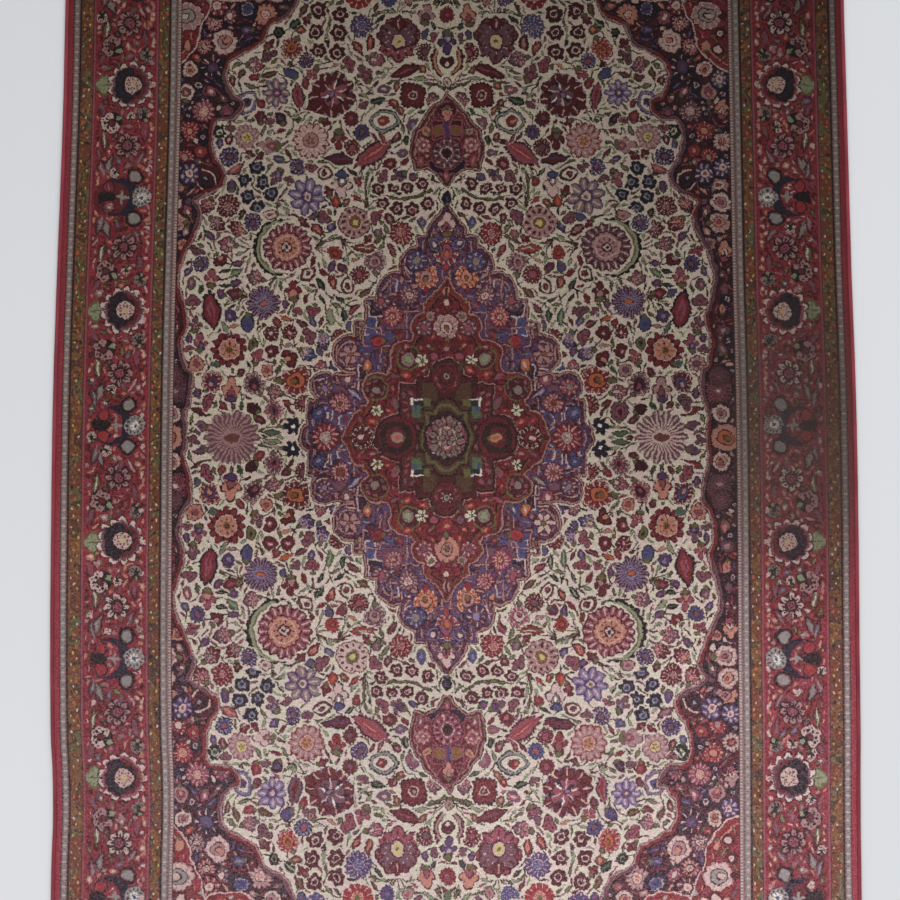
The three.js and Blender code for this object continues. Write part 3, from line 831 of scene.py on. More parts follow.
# The crimson layer, with two rust and ink lines just inside its edge.
banded(crimson_ground, ((3, "maroon"), (1.9, "dusty"), (.8, "rust"), (-.2, "maroon"), (-1, "crimson")))
fill(inside_crimson & (np.abs(crimson_ground + 5.4) < .8), "ink")
fill(inside_crimson & (np.abs(crimson_ground + 3.6) < .6), "rust")
for x, y, w in ((71, 49, 11), (38, 80, 10)):
    shape = shape_gap(aside, ahead, "lobe", x, y, w, w)
    fill(inside_crimson & (shape < 2), "olive")
    fill(inside_crimson & (shape < .4), "maroon")
# The maroon cross has round ends and is pieced from darker blocks.
cross_shapes = [
    ("lobe", 50, 0, 21, 22), ("lobe", 0, 60, 16, 18), ("step", 0, 0, 46, 53), ("step", 0, 0, 30, 60),
]
cross = np.full(chart.shape, FAR_OFF)
cross[near] = joined_gap(near_aside, near_ahead, cross_shapes)
fill(inside_crimson & (cross < 2.2), "dusty")
fill(inside_crimson & (cross < 1.2), "ink")
fill(inside_crimson & (cross < 0), "maroon")
blocks = [
    ("step", 38, 40, 7, 12, "wine"), ("step", 17, 46, 8, 9, "brown"), ("step", 36, 22, 9, 8, "wine"),
    ("step", 22, 24, 9, 9, "brown"), ("lobe", 50, 0, 19, 20, "wine"), ("lobe", 0, 60, 14, 16, "wine"),
]
for kind, x, y, w, h, yarn in blocks:
    shape = shape_gap(aside, ahead, kind, x, y, w, h)
    fill((cross < -.6) & (shape < 1), "umber")
    fill((cross < -.6) & (shape < 0), yarn)
# White brackets stand at the corners of the heart, over dark green.
brackets = [
    (28, 38, 7.5, 1, "white"), (33.5, 34, 1, 6, "white"), (27, 32, 5, 5, "fir"), (30, 26, 4.5, 6, "green"),
    (31, 29, 2, 3, "blue"), (20, 35, 3.5, 3.5, "olive"),
]
for x, y, w, h, yarn in brackets:
    fill(shape_gap(aside, ahead, "step", x, y, w, h) < 0, yarn)
# The gold frame round the grey heart.
frame_shapes = [("lobe", 0, 0, 28, 24), ("lobe", 0, 0, 20, 38), ("step", 0, 0, 22, 27)]
gold_frame = np.full(chart.shape, FAR_OFF)
gold_frame[near] = joined_gap(near_aside, near_ahead, frame_shapes)
banded(gold_frame, ((1, "ink"), (0, "brown"), (-1.6, "olive"), (-3.4, "brown"), (-5, "umber")))
crimson_blooms = [
    ("star6", 24.5, 78, 0, 6.5, "umber ivory gold"), ("star6", 69.5, 27, 0, 6.5, "umber ivory gold"),
    ("ring", 38.5, 78.5, 0, 6.5, "stone sage olive"), ("ring", 71, 47, 0, 7, "maroon stone ink"),
    ("rosette", 0, 60, 0, 8, "umber wine grey maroon"), ("spot", 50, 0, 0, 16, "umber wine"),
    ("bud", 50, 0, 0, 9.5, "brown salmon orange"), ("leaf", 63, 12, 60, 8, "ink maroon"),
    ("palmette", 0, 110, 90, 14, "maroon salmon dusty gold olive"),
    ("rosette", 22, 110, 0, 9, "maroon mauve rose"), ("rosette", 0, 136, 0, 8, "maroon crimson blush"),
    ("bud", 0, 149, 90, 8, "maroon salmon"), ("palmette", 85, 0, 180, 13, "ink maroon crimson blush"),
    ("bud", 88, 18, 40, 8, "maroon crimson rose"), ("rosette", 0, 88, 0, 7, "maroon red salmon"),
    ("bud", 40, 92, 0, 7, "maroon red salmon"), ("bud", 18, 92, 40, 7, "maroon crimson salmon"),
    ("leaf", 53, 62, 20, 9, "maroon rose"), ("bud", 52, 36, 60, 8, "plum mauve rose"),
    ("rosette", 16, 122, 0, 6, "maroon dusty olive"), ("bud", 58, 76, 40, 6, "maroon red salmon"),
    ("leaf", 14, 70, 60, 8, "umber brown"),
]
for bloom in crimson_blooms:
    four_ways(*bloom, halo="none", within=inside_crimson)
four_ways("dotted", 0, 0, 0, 22, "ink mauve stone ink", halo="umber", jitter=0)
for n in range(16):
    bearing = n * 22.5 + 11
    x, y = 15 * np.cos(np.radians(bearing)), 18 * np.sin(np.radians(bearing))
    tuft("bud", FIELD_SHIFT + x, y, bearing, 5.5, ("ink mauve grey", "ink stone mauve")[n % 2], "none")
four_ways("star6", 0, 0, 0, 9, "ink stone mauve", halo="none", jitter=0)
crimson_small = [
    ("bud", "maroon red salmon"), ("spot", "maroon rose"), ("leaf", "maroon wine"),
    ("leaf", "maroon olive"), ("leaf", "ink maroon"),
]
fill_gaps("crimson", inside_crimson, crimson_small, 5.2, 12, "crimson", size=(1.1, 1.4))
fill_gaps("crimson", inside_crimson, crimson_small, 3.2, 13, "crimson", size=(1.0, 1.3))
cross_small = [("leaf", "ink plum"), ("leaf", "ink brown"), ("bud", "ink rose"), ("bud", "ink mauve")]
for ground_yarn in ("maroon", "wine"):
    fill_gaps(ground_yarn, inside_crimson, cross_small, 2.8, 14, ground_yarn)
dye_lots(inside_crimson, "crimson", ["wine", "maroon", "crimson", "wine"], 12, 75)

# The pendants. A small wine red shield hangs off each end of the medallion on the rug's long axis, with
# single blooms on the ivory beyond it.
pendant_half = [
    (0, 251), (6, 260), (12, 268), (20, 272), (33, 270), (37, 284), (37, 300), (33, 313), (26, 319),
    (22, 328), (13, 337), (4, 344), (0, 351),
]
pendant_outline = pendant_half + [(-x, y) for x, y in pendant_half[-2:0:-1]]
pendant = np.full(chart.shape, FAR_OFF)
for end in (1, -1):
    window = (slice(*sorted(np.searchsorted(along, (end * 240, end * 362)))),
              slice(*np.searchsorted(across, (-60, 44))))
    pendant[window] = polygon_gap(across_all[:, window[1]] - FIELD_SHIFT, ahead[window[0]], pendant_outline)
banded(pendant, ((2.6, "ivory"), (1.2, "maroon"), (0, "dusty"), (-1.2, "maroon"), (-2, "wine")))
inside_pendant = pendant < -2
fill(inside_pendant & (np.abs(pendant + 4.4) < .6), "dusty")
fill(inside_pendant & (np.abs(pendant + 7.6) < .6) & (aside > 15), "rose")
pendant_parts = [
    ("step", 10, 274, 8, 7, "navy"), ("lobe", 0, 289, 16, 17, "wine"), ("step", 0, 305, 15, 1.5, "ink"),
    ("step", 0, 312, 15, 9, "maroon"), ("lobe", 9, 311, 6, 5, "gold"), ("step", 0, 311, 3, 9, "violet"),
    ("lobe", 0, 332, 10, 9, "maroon"),
]
for kind, x, y, w, h, yarn in pendant_parts:
    shape = shape_gap(aside, ahead, kind, x, y, w, h)
    fill(inside_pendant & (shape < 1.1), "rose")
    fill(inside_pendant & (shape < 0), yarn)
pendant_blooms = [
    ("dotted", 0, 288, 0, 15.5, "maroon rose maroon ink"),
    ("rosette", 25, 296, 0, 8.5, "crimson dusty rose blush"), ("bud", 27, 281, 90, 7, "crimson rose dusty"),
    ("bud", 0, 265, 90, 7, "maroon rose salmon"), ("lotus", 0, 331, -90, 9, "maroon salmon dusty"),
    ("bud", 22, 311, 40, 7, "maroon salmon gold"),
]
for bloom in pendant_blooms:
    four_ways(*bloom, halo="none", within=inside_pendant)
pendant_small = [("leaf", "maroon rose"), ("bud", "maroon dusty blush"), ("leaf", "maroon salmon")]
pendant_dark = [("leaf", "ink rose"), ("bud", "ink dusty"), ("leaf", "ink violet")]
fill_gaps("wine", inside_pendant, pendant_small, 2.8, 15, "crimson")
fill_gaps("maroon", inside_pendant, pendant_dark, 2.6, 16, "maroon")
axis_blooms = [
    ("carnation", 0, 244, 0, 9, "navy navy violet blue"), ("bud", 0, 243, 90, 8, "ink navy violet"),
    ("eyeleaf", 0, 380, -90, 21, "maroon salmon maroon cream"),
    ("lotus", 0, 405, -90, 12, "plum violet lilac blush"),
    ("carnation", 0, 430, 0, 9, "maroon crimson rose"), ("bud", 0, 362, 90, 8, "umber dusty olive"),
    ("palmette", 0, 472, -90, 17, "maroon rose salmon yellow"), ("bud", 0, 450, 90, 7, "fir green olive"),
]
for bloom in axis_blooms:
    four_ways(*bloom)

# The borders. A crimson main border runs between two rust guards and two beaded grey stripes, with a red
# line at the very edge. Two repeats take turns along it: a big rosette, and a crescent between rings.
BORDER_LIFT = 12


def frame_band(low, high, yarn):
    fill((rim > low) & (rim <= high), yarn)


frame_band(-1, 5, "edge")
frame_band(5, 13, "stone")
frame_band(13, 26.5, "rust")
frame_band(26.5, 28.6, "rose")
frame_band(28.6, 91, "crimson")
frame_band(91, 93, "rose")
frame_band(93, 105, "rust")
frame_band(105, 117.4, "stone")

# How far along the border a knot lies, on the long sides and on the ends.
on_side = (EDGE - np.abs(across_all)) < (END - np.abs(along_all))
run = np.where(on_side, along_all - BORDER_LIFT, across_all)


def beaded(low, high, pitch, wide, tall, yarn):
    middle = (low + high) / 2
    beat = np.abs((run / pitch) % 1 - .5) * pitch
    fill((np.abs(rim - middle) < wide / 2) & (beat < tall / 2), yarn)


beaded(5, 13, 4.0, 6.4, 1.5, "mauve")
beaded(5.8, 12.2, 4.0, 3.6, 2.2, "grey")
beaded(5.8, 12.2, 8.0, 3.0, 1.9, "blush")
frame_band(5, 5.8, "umber")
frame_band(12.3, 13, "umber")
beaded(105, 112.5, 4.0, 6.0, 1.5, "mauve")
beaded(105.8, 111.6, 4.0, 3.8, 2.2, "grey")
beaded(105.8, 111.6, 8.0, 3.2, 1.9, "blush")
frame_band(105, 105.8, "umber")
frame_band(112, 112.7, "mauve")
beaded(113.5, 116.5, 3.0, 1.6, 1.4, "blush")
frame_band(116.6, 117.4, "umber")

GUARD_LOTS = ("brown", "gold", "rust", "gold", "brown", "olive")
FLECK_LIGHT = ("umber salmon", "umber stone", "umber cream", "umber yellow")
FLECK_DARK = ("umber umber", "umber brown", "umber olive", "umber orange")
FLECK_PITCH = 5.6
for low, high, seed in ((13, 26.5, 21), (93, 105, 22)):
    pick = np.random.default_rng(seed)
    dye_lots((rim > low) & (rim <= high), "rust", GUARD_LOTS, 40, seed)
    middle = (low + high) / 2
    frame_band(low, low + .7, "umber")
    frame_band(high - .7, high, "umber")
    for k in range(-116, 117):
        for side in (0, 1, 2, 3):
            on_long_side = side < 2
            outward = 1 if side % 2 else -1
            far, limit = (EDGE - middle, END - middle) if on_long_side else (END - middle, EDGE - middle)
            if abs(k * FLECK_PITCH) > limit:
                continue
            off = (2.9, -3.1, .4)[k % 3] + pick.normal(0, .5)
            at = k * FLECK_PITCH + pick.normal(0, .6)
            if on_long_side:
                x, y, a = outward * (far + off), at + BORDER_LIFT, 90
            else:
                x, y, a = at, outward * (far + off), 0
            tuft("fleck", x, y, a + pick.normal(0, 25), pick.uniform(1.1, 1.7),
                 FLECK_LIGHT[pick.integers(4)], "none")
            if k % 2:
                across_band = off * 1.9
                x = x - np.sign(x) * across_band * on_long_side
                y = y - np.sign(y) * across_band * (not on_long_side)
                tuft("fleck", x, y, a + pick.normal(0, 40), pick.uniform(1.6, 2.6),
                     FLECK_DARK[pick.integers(4)], "none")

main_band = (rim > 29) & (rim < 90.6)
BAND_MIDDLE = 60
SIDE_REPEAT = 231
END_REPEAT = 226


def border_figure(where, figure, t, d, turn, size, colours):
    """Knots a figure in every repeat, t along it from its middle and d towards the field."""
    shift = .5 if where == "big" else 0
    sides = [(n + shift) * SIDE_REPEAT for n in range(-2, 3 - (shift > 0))]
    ends = [(n + shift) * END_REPEAT for n in range(-1, 2 - (shift > 0))]
    for s in sides:
        for way in (1, -1):
            for flip in (1, -1) if t else (1,):
                dx, dy = rng.normal(0, .4, 2)
                x = way * (EDGE - BAND_MIDDLE - d) + dx
                y = s + BORDER_LIFT + t * flip + dy
                # a turn of 0 looks towards the field
                face = 180 if way > 0 else 0
                tuft(figure, x, y, face - turn * flip * way, size, colours, "none", -flip * way,
                     within=main_band & on_side)
    for s in ends:
        for way in (1, -1):
            for flip in (1, -1) if t else (1,):
                y = way * (END - BAND_MIDDLE - d)
                x = s + t * flip
                tuft(figure, x, y, (turn * flip - 90) * way, size, colours, "none", flip,
                     within=main_band & ~on_side)


border_rows = [
    # feather leaves lie under the rest, along both sides of the band
    ("ring", "feather", 31, -17, 66, 13, "plum stone grey"),
    ("ring", "feather", 27, -22, 104, 11, "plum mauve grey"),
    ("big", "feather", 57, -20, 84, 12, "maroon olive cream"),
    ("big", "feather", 48, 20, 96, 10, "maroon mauve rose"),
    ("ring", "feather", 40, 16, 60, 10, "maroon mauve dusty"),
    ("big", "feather", 26, -24, 62, 10, "maroon mauve rose"),
    # big rosette with its calyx and star tip
    ("big", "spade", 0, -20.5, 180, 12, "olive sage/sage olive"),
    ("big", "great", 0, 5.5, 0, 24.5, "ink cream/rose blush wine sage"),
    ("big", "bud", 0, 29, 0, 5, "maroon cream salmon"),
    ("big", "fan", 40, -14, 150, 12.5, "ink dusty wine wine sage"),
    ("big", "fan", 30, 21, -100, 8, "ink stone fir fir sage"),
    # rings, blue-white rosette and navy crescent
    ("ring", "crescent", 0, -5.5, 0, 20, "navy crimson red ink grey"),
    ("ring", "ring", 21.5, 12, 0, 9.2, "ink grey mauve"),
    ("ring", "dotted", 0, 19.5, 0, 11, "navy grey white blue"),
    ("ring", "cluster", 52, 3, 0, 13.5, "ink dusty maroon rose"),
    ("ring", "bud", 48, 27, 90, 4.6, "maroon salmon cream"),
    ("ring", "bud", 38, 22, 60, 4.6, "maroon salmon cream"),
    ("big", "bud", 45, 27.5, 90, 4.6, "maroon salmon cream"),
    ("ring", "bud", 40, 6, 120, 5, "plum rose mauve"), ("ring", "bud", 64, -9, 60, 6, "maroon plum rose"),
    ("big", "bud", 29, -4, 90, 5, "maroon rose dusty"),
]
for row in border_rows:
    border_figure(*row)

for side in (1, -1):
    for k in range(-54, 55):
        x = side * (EDGE - 86.5) + rng.normal(0, .5)
        y = BORDER_LIFT + k * 10.5 + rng.normal(0, 1)
        turn = 60 * (-1) ** k + rng.normal(0, 20)
        colours = ("umber salmon", "umber blush", "umber salmon")[k % 3]
        tuft("fleck", x, y, turn, rng.uniform(2, 3.1), colours, "none", within=main_band)
border_small = [
    ("leaf", "maroon mauve dusty"), ("bud", "maroon salmon cream"), ("lotus", "ink rose blush"),
    ("bud", "ink mauve lilac"), ("lotus", "maroon dusty blush"), ("leaf", "maroon salmon blush"),
    ("bud", "ink wine rose"), ("leaf", "ink olive sage"), ("fan", "ink blush ink"),
]
border_tiny = [
    ("leaf", "maroon maroon"), ("bud", "maroon salmon"), ("leaf", "maroon blush"),
    ("bud", "maroon maroon"), ("bud", "wine wine"), ("leaf", "salmon salmon"), ("bud", "ink dusty"),
]
fill_gaps("crimson", main_band, border_small, 4.8, 31, "crimson", size=(1.1, 1.4), fold=False)
fill_gaps("crimson", main_band, border_tiny, 3.0, 32, "crimson", size=(.9, 1.3), fold=False)
dye_lots(main_band, "crimson", ["edge", "crimson", "edge", "edge", "wine"], 10, 76)

# The weaver's hand. No line of a hand-knotted rug is quite true, so outlines wander by a knot or two, and
# now and then a knot strays onto its neighbour's place.
stray = np.random.default_rng(5)
loose = np.where((rim > 30) & ~((rim > 89.5) & (rim < 118)), 1.0, .22)
drift_c = ((cloud(9, 91) - .5) * 4.0 + (cloud(4, 93) - .5) * 1.2) * loose
drift_r = ((cloud(9, 92) - .5) * 4.0 + (cloud(4, 94) - .5) * 1.2) * loose
drift_c += stray.choice((-1, 0, 0, 0, 0, 0, 0, 0, 0, 1), (ROWS, COLS)) * (loose > .5)
drift_r += stray.choice((-1, 0, 0, 0, 0, 0, 0, 0, 0, 0, 0, 1), (ROWS, COLS)) * (loose > .5)
rows_from = np.clip(np.round(np.arange(ROWS)[:, None] + drift_r).astype(int), 0, ROWS - 1)
cols_from = np.clip(np.round(np.arange(COLS)[None] + drift_c).astype(int), 0, COLS - 1)
chart[:] = chart[rows_from, cols_from]

# The cloth. The finished chart is knotted in five stretches, the field and four border strips, that meet
# edge to edge as the one cloth they are. Each is a grid whose faces carry four by four knots in their
# attributes. Its sides turn down to the bare back, and it follows the uneven edge of the woven body.
PILE_TOP = .006
EDGE_DROP = .0016
RIPPLE = .0005
BACK_UP = .0003
SAME_PLACE = 2e-4
YARN_SLOTS = 32
# painted light: the pile's colour is painted lighter at the foot end and darker towards the head end at
# these stations along the rug, and PILE_LIGHT brightens all of it
NAP_FOOT, NAP_HEAD = -.75, .75
NAP_LIGHT = ((.16, .96), (.33, .81), (.5, .57), (.7, .5), (.85, .46))
NAP_LIGHT_AT_HEAD = .37
PILE_LIGHT = 1.38


def side_lines(node):
    """The plain body's left and right edge along the rug, and its foot and head end."""
    places = np.empty(len(node.data.vertices) * 3)
    node.data.vertices.foreach_get("co", places)
    places = places.reshape(-1, 3)
    lines = []
    for side, outermost in ((places[places[:, 0] < -.3], np.min), (places[places[:, 0] > .3], np.max)):
        ys = np.unique(np.round(side[:, 1], 4))
        xs = np.array([outermost(side[np.abs(side[:, 1] - y) < SAME_PLACE, 0]) for y in ys])
        keep = np.abs(xs) > np.abs(xs).max() - .02
        lines.append((ys[keep], xs[keep]))
    return lines, places[:, 1].min(), places[:, 1].max()


(left_edge, right_edge), foot_end, head_end = side_lines(bpy.data.objects["pile_body"])


def lie(col, row, lift):
    """Where a knot of the chart lies on the floor; lift is 1 on the pile and 0 underneath."""
    y = foot_end + (head_end - foot_end) * row / ROWS
    x0 = np.interp(y, *left_edge)
    x1 = np.interp(y, *right_edge)
    x = x0 + (x1 - x0) * col / COLS
    edge = np.minimum(np.minimum(col, COLS - col), np.minimum(row, ROWS - row))
    z = PILE_TOP - EDGE_DROP * (edge < 2)
    swell = np.sin(x * 5.1 + 1.3 * np.sin(y * 2.3)) * np.sin(y * 4.3 + .7)
    z = z + RIPPLE * (swell + .6 * np.sin(y * 9.1 + x * 2.2))
    return np.stack([x, y, np.where(lift > 0, z, BACK_UP)], -1)


def turned_down(bm):
    """Turns the rim of a grid down and closes it underneath."""
    rim_edges = [e for e in bm.edges if e.is_boundary]
    down = bmesh.ops.extrude_edge_only(bm, edges=rim_edges)["geom"]
    for v in (g for g in down if isinstance(g, bmesh.types.BMVert)):
        v.co.z = -1
    bmesh.ops.contextual_create(bm, geom=[e for e in bm.edges if e.is_boundary])


def set_down(bm, name):
    """Makes an object of a finished mesh and puts it in the scene."""
    mesh = bpy.data.meshes.new(name)
    bm.to_mesh(mesh)
    bm.free()
    piece = bpy.data.objects.new(name, mesh)
    bpy.context.collection.objects.link(piece)
    return piece


def linear(rgb):
    shares = [value / 255 for value in rgb]
    return (*[c / 12.92 if c <= .04045 else ((c + .055) / 1.055) ** 2.4 for c in shares], 1.0)


def link(tree, a, b):
    tree.links.new(a, b)


def math_node(tree, op, a, b=None):
    node = tree.nodes.new("ShaderNodeMath")
    node.operation = op
    for socket, value in zip(node.inputs, (a, b)):
        if isinstance(value, (int, float)):
            socket.default_value = value
        elif value is not None:
            link(tree, value, socket)
    return node.outputs[0]


def times(tree, a, b):
    return math_node(tree, "MULTIPLY", a, b)


def plus(tree, a, b):
    return math_node(tree, "ADD", a, b)


def minus(tree, a, b):
    return math_node(tree, "SUBTRACT", a, b)


def picked(tree, value, number, worth):
    """Lets worth through where value is that whole number."""
    same = math_node(tree, "COMPARE", value, float(number))
    same.node.inputs[2].default_value = .1
    return times(tree, same, worth)


def fade(tree, value, start, end, low=0.0, high=1.0):
    """Eases from low to high while the value goes from start to end."""
    node = tree.nodes.new("ShaderNodeMapRange")
    node.interpolation_type = "SMOOTHSTEP"
    for name, number in (("From Min", start), ("From Max", end), ("To Min", low), ("To Max", high)):
        node.inputs[name].default_value = number
    link(tree, value, node.inputs["Value"])
    return node.outputs[0]


def dyed(tree, share, a, b):
    """Mixes two colours; each is a socket or a dye's numbers."""
    node = tree.nodes.new("ShaderNodeMix")
    node.data_type = "RGBA"
    link(tree, share, node.inputs["Factor"])
    for name, colour in (("A", a), ("B", b)):
        if isinstance(colour, tuple):
            node.inputs[name].default_value = linear(colour)
        else:
            link(tree, colour, node.inputs[name])
    return node.outputs["Result"]


def mottle(tree, place, scale, detail):
    node = tree.nodes.new("ShaderNodeTexNoise")
    node.inputs["Scale"].default_value = scale
    node.inputs["Detail"].default_value = detail
    link(tree, place, node.inputs["Vector"])
    return node.outputs[0]


def raised(tree, height, strength, depth, bsdf):
    bump = tree.nodes.new("ShaderNodeBump")
    bump.inputs["Strength"].default_value = strength
    bump.inputs["Distance"].default_value = depth
    link(tree, height, bump.inputs["Height"])
    link(tree, bump.outputs[0], bsdf.inputs["Normal"])


def chart_reader():
    """Finds which yarn a knot is tied in, with its own dye lot and its round top."""
    g = bpy.data.node_groups.new("knot chart", "ShaderNodeTree")
    g.interface.new_socket("Knot place", in_out="INPUT", socket_type="NodeSocketVector")
    for name in ("Yarn", "Dye lot", "Height"):
        g.interface.new_socket(name, in_out="OUTPUT", socket_type="NodeSocketFloat")
    enter, leave = g.nodes.new("NodeGroupInput"), g.nodes.new("NodeGroupOutput")
    parts = g.nodes.new("ShaderNodeSeparateXYZ")
    link(g, enter.outputs[0], parts.inputs[0])
    col, row = (math_node(g, "FLOOR", part) for part in parts.outputs[:2])
    in_col, in_row = (math_node(g, "FLOORED_MODULO", part, float(BLOCK)) for part in (col, row))
    yarn = 0.0
    for r in range(BLOCK):
        attribute = g.nodes.new("ShaderNodeAttribute")
        attribute.attribute_type = "GEOMETRY"
        attribute.attribute_name = f"knots_{r}"
        split = g.nodes.new("ShaderNodeSeparateColor")
        link(g, attribute.outputs["Color"], split.inputs[0])
        in_this_row = 0.0
        for c, knot in enumerate((*split.outputs, attribute.outputs["Alpha"])):
            in_this_row = plus(g, in_this_row, picked(g, in_col, c, knot))
        yarn = plus(g, yarn, picked(g, in_row, r, in_this_row))
    link(g, yarn, leave.inputs["Yarn"])
    cell = g.nodes.new("ShaderNodeCombineXYZ")
    link(g, col, cell.inputs[0])
    link(g, row, cell.inputs[1])
    noise = g.nodes.new("ShaderNodeTexWhiteNoise")
    noise.noise_dimensions = "2D"
    link(g, cell.outputs[0], noise.inputs["Vector"])
    link(g, noise.outputs["Value"], leave.inputs["Dye lot"])
    aside, ahead = (minus(g, math_node(g, "FRACT", part), .5) for part in parts.outputs[:2])
    off_middle = plus(g, times(g, aside, aside), times(g, ahead, ahead))
    bulge = minus(g, 1.0, times(g, off_middle, 3.4))
    link(g, plus(g, bulge, times(g, noise.outputs["Value"], .7)), leave.inputs["Height"])
    return g


def pile_shader():
    m = bpy.data.materials.new("silky wool pile")
    m.use_nodes = True
    t = m.node_tree
    bsdf = t.nodes["Principled BSDF"]
    uv = t.nodes.new("ShaderNodeUVMap")
    uv.uv_map = "knots"
    knot = t.nodes.new("ShaderNodeGroup")
    knot.node_tree = chart_reader()
    link(t, uv.outputs[0], knot.inputs[0])
    wool = t.nodes.new("ShaderNodeValToRGB")
    wool.color_ramp.interpolation = "CONSTANT"
    stops = wool.color_ramp.elements
    stops.remove(stops[1])
    stops[0].position = 0
    stops[0].color = linear(dyes[yarns[0]])
    for n, name in enumerate(yarns[1:], 1):
        stop = stops.new(n / YARN_SLOTS)
        stop.color = linear(dyes[name])
    link(t, knot.outputs["Yarn"], wool.inputs[0])
    place = t.nodes.new("ShaderNodeTexCoord").outputs["Object"]
    axes = t.nodes.new("ShaderNodeSeparateXYZ")
    link(t, place, axes.inputs[0])
    to_right, to_head = axes.outputs[0], axes.outputs[1]
    # painted sheen and shade: the pile leans away from the head end, so the foot end is painted lighter and
    # the head end darker; lean carries this painted light
    along_rug = t.nodes.new("ShaderNodeMapRange")
    along_rug.inputs["From Min"].default_value = NAP_FOOT
    along_rug.inputs["From Max"].default_value = NAP_HEAD
    link(t, to_head, along_rug.inputs["Value"])
    painted_nap_light = t.nodes.new("ShaderNodeFloatCurve")
    curve = painted_nap_light.mapping.curves[0]
    curve.points[0].location = (0, 1)
    curve.points[1].location = (1, NAP_LIGHT_AT_HEAD)
    for spot in NAP_LIGHT:
        curve.points.new(*spot)
    painted_nap_light.mapping.update()
    link(t, along_rug.outputs[0], painted_nap_light.inputs["Value"])
    lean = painted_nap_light.outputs[0]
    # painted light and shade: the foot end is painted lighter on its right, the rest on its left, and the
    # head's right corner darkest
    painted_side_light = plus(t, times(t, to_right, fade(t, to_head, -.42, -.1, .17, -.17)), 1.0)
    far_right = times(t, math_node(t, "MAXIMUM", to_right, 0.0), math_node(t, "MAXIMUM", to_head, 0.0))
    painted_side_light = minus(t, painted_side_light, times(t, far_right, .5))
    # broad clouds, fine streaks across the rug and each knot's own dye lot
    broad = plus(t, times(t, mottle(t, place, 3.2, 4), .5), .75)
    stretch = t.nodes.new("ShaderNodeMapping")
    stretch.inputs["Scale"].default_value = (150, 420, 150)
    link(t, place, stretch.inputs["Vector"])
    speck = plus(t, times(t, mottle(t, stretch.outputs[0], 1, 2), .7), .65)
    lot = plus(t, times(t, knot.outputs["Dye lot"], .5), .75)
    shade = times(t, times(t, lean, broad), times(t, speck, lot))
    shade = times(t, times(t, shade, painted_side_light), PILE_LIGHT)
    # painted shade: in the ivory field dark yarns are painted darker where the painted pile light is low;
    # the medallion is a little lighter and the border a little darker
    lightness = t.nodes.new("ShaderNodeRGBToBW")
    link(t, wool.outputs[0], lightness.inputs[0])
    oval = t.nodes.new("ShaderNodeMapping")
    oval.inputs["Scale"].default_value = (4.2, 2.7, 0)
    link(t, place, oval.inputs["Vector"])
    from_middle = t.nodes.new("ShaderNodeVectorMath")
    from_middle.operation = "LENGTH"
    link(t, oval.outputs[0], from_middle.inputs[0])
    off_medallion = fade(t, from_middle.outputs["Value"], .75, 1.15)
    short_of_border = fade(t, math_node(t, "ABSOLUTE", to_right), .49, .45)
    painted_deep_shade = math_node(t, "MINIMUM", times(t, minus(t, 1.0, lean), .34), .14)
    painted_deep_shade = times(t, painted_deep_shade, times(t, off_medallion, short_of_border))
    shade = times(t, shade, plus(t, 1.09, times(t, off_medallion, -.09)))
    shade = times(t, shade, plus(t, .94, times(t, short_of_border, .06)))
    shade = times(t, shade, math_node(t, "POWER", lightness.outputs[0], painted_deep_shade))
    shade = times(t, shade, plus(t, times(t, painted_deep_shade, .75), 1.0))
    # painted sheen: knots are mixed towards a dusty pink or a cool lilac, most in lighter dye lots and
    # towards the lighter foot end
    painted_sheen_tint = dyed(t, mottle(t, place, 34, 3), (182, 138, 138), (152, 138, 146))
    painted_sheen_share = times(t, math_node(t, "POWER", knot.outputs["Dye lot"], 2.0),
                    math_node(t, "POWER", lean, 2.0))
    colour = dyed(t, plus(t, times(t, painted_sheen_share, .31), .015), wool.outputs[0], painted_sheen_tint)
    # painted shade: the right border is painted a dark grey-brown about half way up
    painted_grey_shade = times(t, fade(t, to_right, .36, .52),
                   fade(t, math_node(t, "ABSOLUTE", minus(t, to_head, .01)), .3, .05))
    colour = dyed(t, times(t, painted_grey_shade, .52), colour, (90, 76, 74))
    # the shaded head end looks warmer
    light = t.nodes.new("ShaderNodeCombineXYZ")
    link(t, shade, light.inputs[0])
    link(t, times(t, shade, plus(t, times(t, lean, .08), .92)), light.inputs[1])
    link(t, times(t, shade, plus(t, times(t, lean, .24), .77)), light.inputs[2])
    lit = t.nodes.new("ShaderNodeVectorMath")
    lit.operation = "MULTIPLY"
    link(t, colour, lit.inputs[0])
    link(t, light.outputs[0], lit.inputs[1])
    link(t, lit.outputs[0], bsdf.inputs["Base Color"])
    bsdf.inputs["Roughness"].default_value = .75
    bsdf.inputs["Specular IOR Level"].default_value = .12
    bsdf.inputs["Sheen Weight"].default_value = .05
    bsdf.inputs["Sheen Roughness"].default_value = .4
    bsdf.inputs["Sheen Tint"].default_value = (1, .95, .9, 1)
    raised(t, knot.outputs["Height"], .6, .0005, bsdf)
    return m


